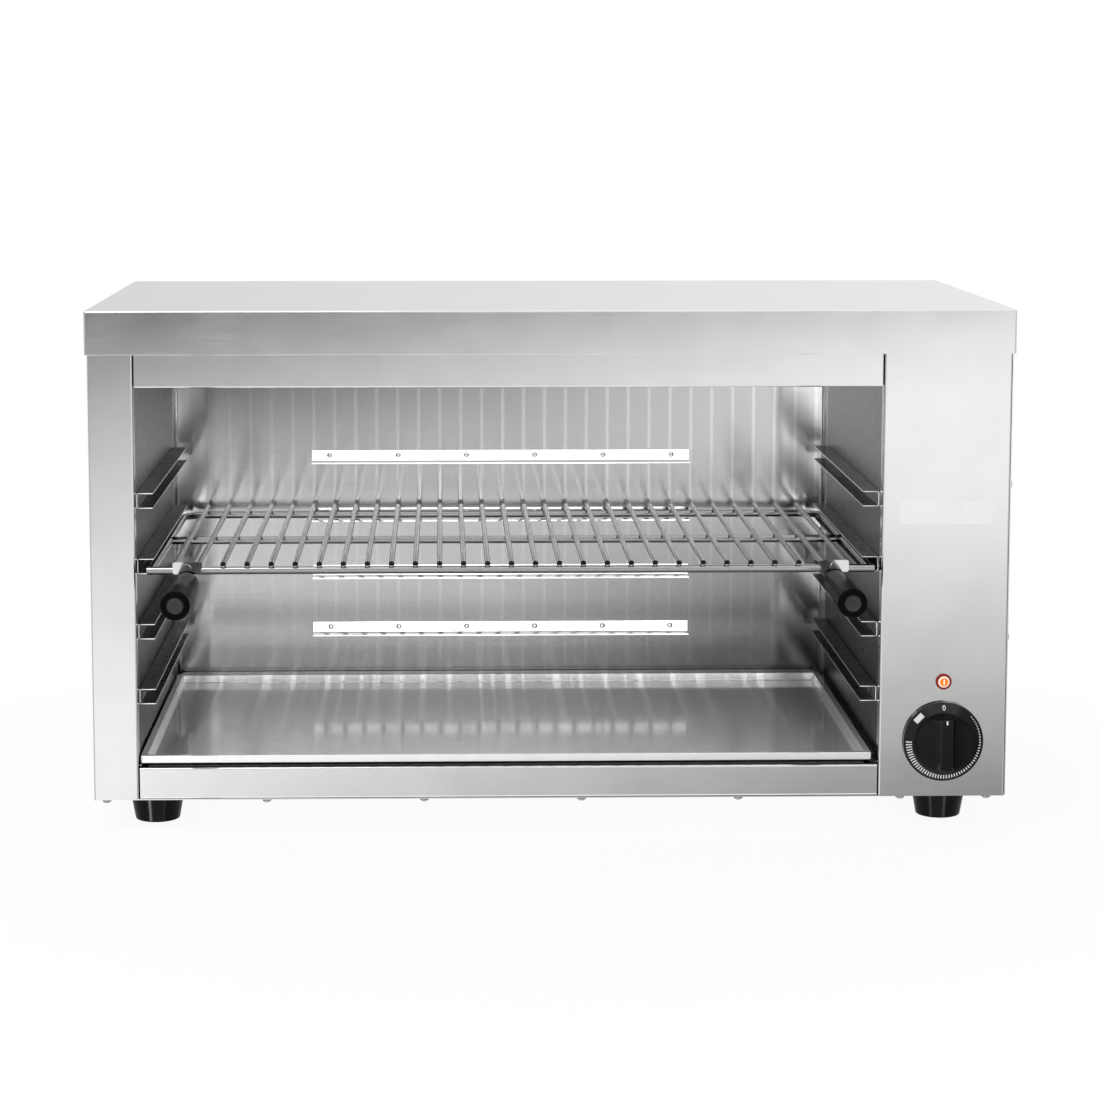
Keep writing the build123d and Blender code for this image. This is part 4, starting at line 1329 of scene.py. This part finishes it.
@dataclass
class HeatKnob(Assembly):
    """Knob with a printed dial on its skirt."""

    body: Body = Body.KNOB
    skirt_thickness: float = 0.0032
    cone_rise: float = 0.0018
    cone_radius: float = 0.026
    print_thickness: float = 0.00012
    print_sink: float = 0.00004
    tick_outer_radius: float = 0.0329
    tick_first_length: float = 0.0007
    tick_last_length: float = 0.0052
    tick_width: float = 0.001
    tick_first_angle: float = 48.0
    tick_last_angle: float = 270.0
    tick_count: int = 52
    block_angle: float = -46.0
    block_radius: float = 0.0302
    block_length: float = 0.0089
    block_width: float = 0.0048
    zero_radius: float = 0.0302
    zero_half_width: float = 0.0014
    zero_half_height: float = 0.0023
    zero_line: float = 0.0008
    zero_steps: int = 24
    pointer_inner: float = 0.0188
    pointer_outer: float = 0.0222
    pointer_width: float = 0.0014

    def __post_init__(self) -> None:
        """Read the knob's place from the frame."""
        low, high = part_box("control_knob")
        self.axis = Vector(((low.x + high.x) / 2.0, high.y, (low.z + high.z) / 2.0))
        self.skirt_radius = (high.x - low.x) / 2.0
        self.grip_front = low.y

    def finishes(self) -> Mapping[Finish, Iterable[str]]:
        """Return the knob's nodes under their finishes."""
        return {PHENOLIC: ("control_knob",), PLATED: ("regulator_shaft",)}

    def on_skirt(self, side: float, up: float, lift: float) -> Vector:
        """Place a point on the sloping front of the skirt.

        Args:
            side: metres to the right of the knob's axis.
            up: metres above it.
            lift: metres in front of the skirt.

        Returns:
            The point in the grill's frame.
        """
        slope = self.cone_rise / (self.skirt_radius - self.cone_radius)
        rise = (self.skirt_radius - math.hypot(side, up)) * slope
        return self.axis + Vector((side, -self.skirt_thickness - rise - lift, up))

    def stamp(self, mesh: Mesh, corners: Sequence[tuple[float, float]]) -> None:
        """Print one closed patch on the skirt.

        Args:
            mesh: where the faces go.
            corners: the patch's outline, to the right of and above the knob's axis.
        """
        sunk = [mesh.verts.new(self.on_skirt(side, up, -self.print_sink)) for side, up in corners]
        proud = [mesh.verts.new(self.on_skirt(side, up, self.print_thickness)) for side, up in corners]
        slab(mesh, sunk, proud)

    def patch(self, angle: float, inner: float, outer: float, width: float) -> list[tuple[float, float]]:
        """Outline a straight patch that lies along a radius.

        Args:
            angle: degrees clockwise from the top.
            inner: its inner radius.
            outer: its outer radius.
            width: its width across the radius.

        Returns:
            Its four corners.
        """
        out = Vector((math.sin(math.radians(angle)), math.cos(math.radians(angle))))
        side = Vector((out.y, -out.x)) * width / 2.0
        return [tuple(out * inner - side), tuple(out * outer - side), tuple(out * outer + side),
                tuple(out * inner + side)]

    def ticks(self) -> Piece:
        """Print the row of ticks that grow as the heat rises, and the block for full heat.

        Returns:
            One object with all of them.
        """
        mesh = bmesh.new()
        for i in range(self.tick_count):
            share = i / (self.tick_count - 1)
            angle = self.tick_first_angle + share * (self.tick_last_angle - self.tick_first_angle)
            length = self.tick_first_length + share * (self.tick_last_length - self.tick_first_length)
            outer = self.tick_outer_radius
            self.stamp(mesh, self.patch(angle, outer - length, outer, self.tick_width))
        inner, outer = self.block_radius - self.block_width / 2.0, self.block_radius + self.block_width / 2.0
        self.stamp(mesh, self.patch(self.block_angle, inner, outer, self.block_length))
        return new_piece("dial_ticks", mesh, INK)

    def zero(self) -> Piece:
        """Print the zero at the top of the dial.

        Returns:
            An oval ring.
        """
        mesh = bmesh.new()
        rings = []
        for lift in (-self.print_sink, self.print_thickness):
            for inset in (0.0, self.zero_line):
                ring = []
                for i in range(self.zero_steps):
                    angle = 2.0 * math.pi * i / self.zero_steps
                    side = (self.zero_half_width - inset) * math.cos(angle)
                    up = self.zero_radius + (self.zero_half_height - inset) * math.sin(angle)
                    ring.append(mesh.verts.new(self.on_skirt(side, up, lift)))
                rings.append(ring)
        sunk_out, sunk_in, proud_out, proud_in = rings
        for first, second in ((sunk_out, sunk_in), (proud_out, proud_in), (sunk_out, proud_out),
                              (sunk_in, proud_in)):
            band(mesh, first, second)
        return new_piece("dial_zero", mesh, INK)

    def pointer(self) -> Piece:
        """Print the line at the end of the grip bar.

        Returns:
            A short line on the bar's front.
        """
        mesh = bmesh.new()
        middle = (self.pointer_inner + self.pointer_outer) / 2.0
        front = Vector((self.axis.x, self.grip_front, self.axis.z + middle))
        place = Matrix.Translation(front) @ Matrix.Diagonal(
            (self.pointer_width, 2.0 * self.print_thickness, self.pointer_outer - self.pointer_inner, 1.0)
        )
        bmesh.ops.create_cube(mesh, size=1.0, matrix=place)
        return new_piece("dial_pointer", mesh, INK)

    def extras(self) -> Iterator[Piece]:
        """Print the dial.

        Yields:
            The ticks, the zero and the pointer.
        """
        yield self.ticks()
        yield self.zero()
        yield self.pointer()


@dataclass(frozen=True)
class PaleFloor(Finish):
    """Pale floor that is white to the camera and keeps a soft shadow."""

    tint: Colour = (0.9, 0.9, 0.9)
    white_share: float = 0.92
    shadow_start: float = 0.4
    shadow_end: float = 0.75

    def paint(self, sheet: NodeSheet) -> Socket:
        """Mix plain floor near the grill with white where it is seen directly.

        Args:
            sheet: the material's node tree.

        Returns:
            The surface.
        """
        matt = sheet.add("ShaderNodeBsdfDiffuse", {"Color": (*self.tint, 1.0)}).outputs[0]
        white = sheet.add("ShaderNodeEmission", {"Color": (*WHITE, 1.0), "Strength": 1.0}).outputs[0]
        away = sheet.vector("LENGTH", sheet.place())
        faded = sheet.spread(away, self.white_share, 1.0, self.shadow_start, self.shadow_end)
        share = sheet.calc("MULTIPLY", sheet.seen_directly(), faded)
        return sheet.add("ShaderNodeMixShader", {0: share, 1: matt, 2: white}).outputs[0]


@dataclass(frozen=True)
class StudioWall(Finish):
    """Round studio wall seen in reflections: dim above, bright near the floor, even at the sides."""

    centre: Place = (-0.113, 0.0, -0.18)
    half_width: float = 0.8
    half_height: float = 0.42
    middle: float = 0.87
    swing: float = 0.235
    upper_fall: float = 0.24
    lower_fall: float = 0.086
    lower_end: float = 1.1
    fall_power: float = 4.0
    dimmest: float = 0.16
    brightest: float = 0.96
    glow_start: float = -1.25
    glow_end: float = -1.8
    glow: float = 0.97
    strip_start: float = 1.36
    strip_end: float = 1.46
    strip: float = 1.6
    upper_start: float = 1.72
    upper_end: float = 1.86
    upper: float = 0.57
    upper_heights: tuple[float, float] = (2.14, 2.38)
    upper_slope: float = 0.1
    high_start: float = 3.2
    high_end: float = 3.8
    high: float = 0.9
    side_start: float = 1.45
    side_end: float = 2.3
    side: float = 0.74
    behind: float = 0.845
    behind_slope: float = 0.035
    behind_low: float = 0.76
    behind_heights: tuple[float, float] = (-1.0, 1.6)
    turn_start: float = -1.2
    turn_end: float = 0.6
    eye_power: float = 2.2
    gain: float = 1.12

    def paint(self, sheet: NodeSheet) -> Socket:
        """Lay the wall's shades by how far right and how high a place is, in steps even to the eye.

        Args:
            sheet: the material's node tree.

        Returns:
            The surface.
        """
        offset = sheet.vector("SUBTRACT", sheet.place(), self.centre)
        scale = (1.0 / self.half_width, 1.0, 1.0 / self.half_height)
        spot = sheet.add("ShaderNodeSeparateXYZ", {0: sheet.vector("MULTIPLY", offset, scale)}).outputs
        right, up = spot["X"], spot["Z"]
        above = sheet.calc("POWER", sheet.calc("MAXIMUM", up, 0.0), self.fall_power)
        level = sheet.spread(up, -self.lower_end, self.lower_end, -self.lower_end, self.lower_end)
        below = sheet.calc("POWER", sheet.calc("MINIMUM", level, 0.0), self.fall_power)
        front = sheet.calc("MULTIPLY_ADD", sheet.calc("MULTIPLY", right, level), self.swing, self.middle)
        front = sheet.calc("MULTIPLY_ADD", above, -self.upper_fall, front)
        front = sheet.calc("MULTIPLY_ADD", below, -self.lower_fall, front)
        front = sheet.calc("MINIMUM", sheet.calc("MAXIMUM", front, self.dimmest), self.brightest)
        lowest = sheet.spread(up, 0.0, 1.0, self.glow_start, self.glow_end)
        front = sheet.fade(front, self.glow, lowest)
        front = sheet.fade(front, self.strip, sheet.spread(up, 0.0, 1.0, self.strip_start, self.strip_end))
        slope = sheet.spread(up, self.upper_slope, -self.upper_slope, *self.upper_heights)
        upper = sheet.calc("MULTIPLY_ADD", right, slope, self.upper)
        upper = sheet.calc("MINIMUM", sheet.calc("MAXIMUM", upper, self.dimmest), self.brightest)
        front = sheet.fade(front, upper, sheet.spread(up, 0.0, 1.0, self.upper_start, self.upper_end))
        front = sheet.fade(front, self.high, sheet.spread(up, 0.0, 1.0, self.high_start, self.high_end))
        aside = sheet.spread(sheet.calc("ABSOLUTE", right), 0.0, 1.0, self.side_start, self.side_end)
        front = sheet.fade(front, self.side, aside)
        back = sheet.calc("MULTIPLY_ADD", right, self.behind_slope, self.behind)
        back = sheet.fade(self.behind_low, back, sheet.spread(up, 0.0, 1.0, *self.behind_heights))
        turned = sheet.spread(spot["Y"], 0.0, 1.0, self.turn_start, self.turn_end)
        shade = sheet.fade(front, back, turned)
        light = sheet.calc("MULTIPLY", sheet.calc("POWER", shade, self.eye_power), self.gain)
        return sheet.add("ShaderNodeEmission", {"Strength": light}).outputs[0]


@dataclass
class SoftBox:
    """One soft lamp; one that names pieces lights only those."""

    name: str
    spot: Place
    width: float
    height: float
    power: float
    mirrored: bool = True
    only_for: Iterable[str] = ()
    aim: Place = (0.0, 0.0, 0.2)

    def build(self) -> None:
        """Hang the lamp and point it; one that isn't mirrored leaves no highlight on the steel."""
        lamp = bpy.data.lights.new(self.name, "AREA")
        lamp.shape = "RECTANGLE"
        lamp.size = self.width
        lamp.size_y = self.height
        lamp.energy = self.power
        holder = bpy.data.objects.new(self.name, lamp)
        holder.location = self.spot
        holder.rotation_euler = (Vector(self.aim) - Vector(self.spot)).to_track_quat("-Z", "Y").to_euler()
        holder.visible_glossy = self.mirrored
        holder.visible_camera = False
        bpy.context.scene.collection.objects.link(holder)
        if self.only_for:
            lit = bpy.data.collections.new(self.name + "_lights")
            for name in self.only_for:
                lit.objects.link(bpy.data.objects[name])
            holder.light_linking.receiver_collection = lit


@dataclass
class Studio:
    """Floor, round wall, lamps and sky of the photograph."""

    floor_half: float = 6.0
    wall_radius: float = 2.7
    wall_bottom: float = -2.4
    wall_top: float = 2.6
    wall_sides: int = 96
    sky_strength: float = 0.75
    roof_lamp_drop: float = 0.021

    def lamps(self) -> Iterator[SoftBox]:
        """Describe two lamps for the whole grill, those for single pieces, and the one under the roof.

        Yields:
            Each lamp, not hung yet.
        """
        yield SoftBox("front_lamp", (-0.1, -2.5, 0.85), 2.0, 0.5, power=12.0, mirrored=False)
        yield SoftBox("top_lamp", (-0.9, -0.9, 2.1), 1.2, 1.2, power=14.0)
        yield SoftBox("edge_lamp", (-1.5, -1.1, 0.5), 1.0, 1.2, power=350.0, only_for=("control_knob",))
        yield SoftBox("left_strip", (-1.7, -2.1, -0.4), 0.4, 2.4, power=66.0, only_for=FEET)
        yield SoftBox("right_strip", (1.31, -2.36, -0.4), 0.38, 2.4, power=20.0, only_for=FEET)
        walls = ["left_liner", "right_liner", *(node + "_sheet" for node in named("runner_"))]
        yield SoftBox("mouth_lamp", (-0.1, -2.5, 0.05), 1.0, 0.8, power=4.5, only_for=walls)
        yield SoftBox("low_mouth_lamp", (-0.1, -2.5, -0.3), 1.0, 0.4, power=8.0, only_for=walls)
        yield SoftBox(
            "tray_lamp", (0.6, -2.5, 0.85), 1.0, 0.5, power=60.0, mirrored=False, only_for=TRAY_SHEETS
        )
        low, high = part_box("roof_reflector")
        middle = (low + high) / 2.0
        under_roof = (middle.x, middle.y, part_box("rear_liner")[1].z - self.roof_lamp_drop)
        yield SoftBox("roof_lamp", under_roof, 0.6, 0.3, power=0.4, aim=(middle.x, middle.y, 0.0))

    def stage(self, name: str, mesh: Mesh, finish: Finish, hidden_from: Iterable[Ray]) -> None:
        """Put a stage object up.

        Args:
            name: its name.
            mesh: its faces.
            finish: its finish.
            hidden_from: rays that pass through it.
        """
        piece = new_piece(name, mesh, finish)
        for ray in hidden_from:
            setattr(piece, ray.value, False)

    def floor(self) -> None:
        """Lay the floor, which reflections and lamps pass through from below."""
        mesh = bmesh.new()
        bmesh.ops.create_grid(mesh, x_segments=1, y_segments=1, size=self.floor_half)
        self.stage("studio_floor", mesh, PaleFloor("finish_floor"), (Ray.GLOSSY, Ray.SHADOW))

    def wall(self) -> None:
        """Put up the round wall, which only reflections see."""
        mesh = bmesh.new()
        profile = [(self.wall_radius, self.wall_bottom), (self.wall_radius, self.wall_top)]
        lathe(mesh, profile, Matrix.Identity(4), self.wall_sides)
        hidden = (Ray.CAMERA, Ray.DIFFUSE, Ray.TRANSMISSION, Ray.SHADOW)
        self.stage("studio_wall", mesh, StudioWall("finish_wall"), hidden)

    def sky(self) -> None:
        """Light from all round: plain on surfaces, white where it is seen."""
        world = bpy.data.worlds.new("studio_sky")
        world.use_nodes = True
        sheet = NodeSheet(world.node_tree)
        plain = sheet.add("ShaderNodeBackground", {"Strength": self.sky_strength}).outputs[0]
        white = sheet.add("ShaderNodeBackground", {"Color": (*WHITE, 1.0), "Strength": 1.0}).outputs[0]
        mixed = sheet.add("ShaderNodeMixShader", {0: sheet.seen_directly(), 1: plain, 2: white}).outputs[0]
        sheet.add("ShaderNodeOutputWorld", {"Surface": mixed})
        bpy.context.scene.world = world

    def build(self) -> None:
        """Set the whole studio up."""
        self.floor()
        self.wall()
        self.sky()
        for lamp in self.lamps():
            lamp.build()


@dataclass
class PhotoCamera:
    """Camera at the photograph's viewing angle."""

    side: float = -0.093
    front_distance: float = 2.3917
    height: float = 0.632
    pitch: float = 6.884
    yaw: float = -1.283
    lens: float = 91.69
    sensor_width: float = 36.0
    shift_x: float = 0.04
    shift_y: float = -0.1

    def place(self) -> None:
        """Set the camera up in front of the posts."""
        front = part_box("left_casing")[0].y
        camera = bpy.data.cameras.new("photo_camera")
        camera.sensor_width = self.sensor_width
        camera.lens = self.lens
        camera.shift_x = self.shift_x
        camera.shift_y = self.shift_y
        holder = bpy.data.objects.new("photo_camera", camera)
        holder.location = (self.side, front - self.front_distance, self.height)
        holder.rotation_euler = (math.radians(90.0 - self.pitch), 0.0, math.radians(self.yaw))
        bpy.context.scene.collection.objects.link(holder)
        bpy.context.scene.camera = holder


def main() -> None:
    """Build the assemblies in order, then the studio and the camera."""
    logging.basicConfig(level=logging.INFO, format="%(message)s")
    for assembly in (Cabinet(), PilotLamp(), WireRack(), DripTray(), HeatKnob()):
        assembly.build()
    Studio().build()
    PhotoCamera().place()
    bpy.context.scene.view_settings.view_transform = "Standard"


if __name__ == "__main__":
    main()
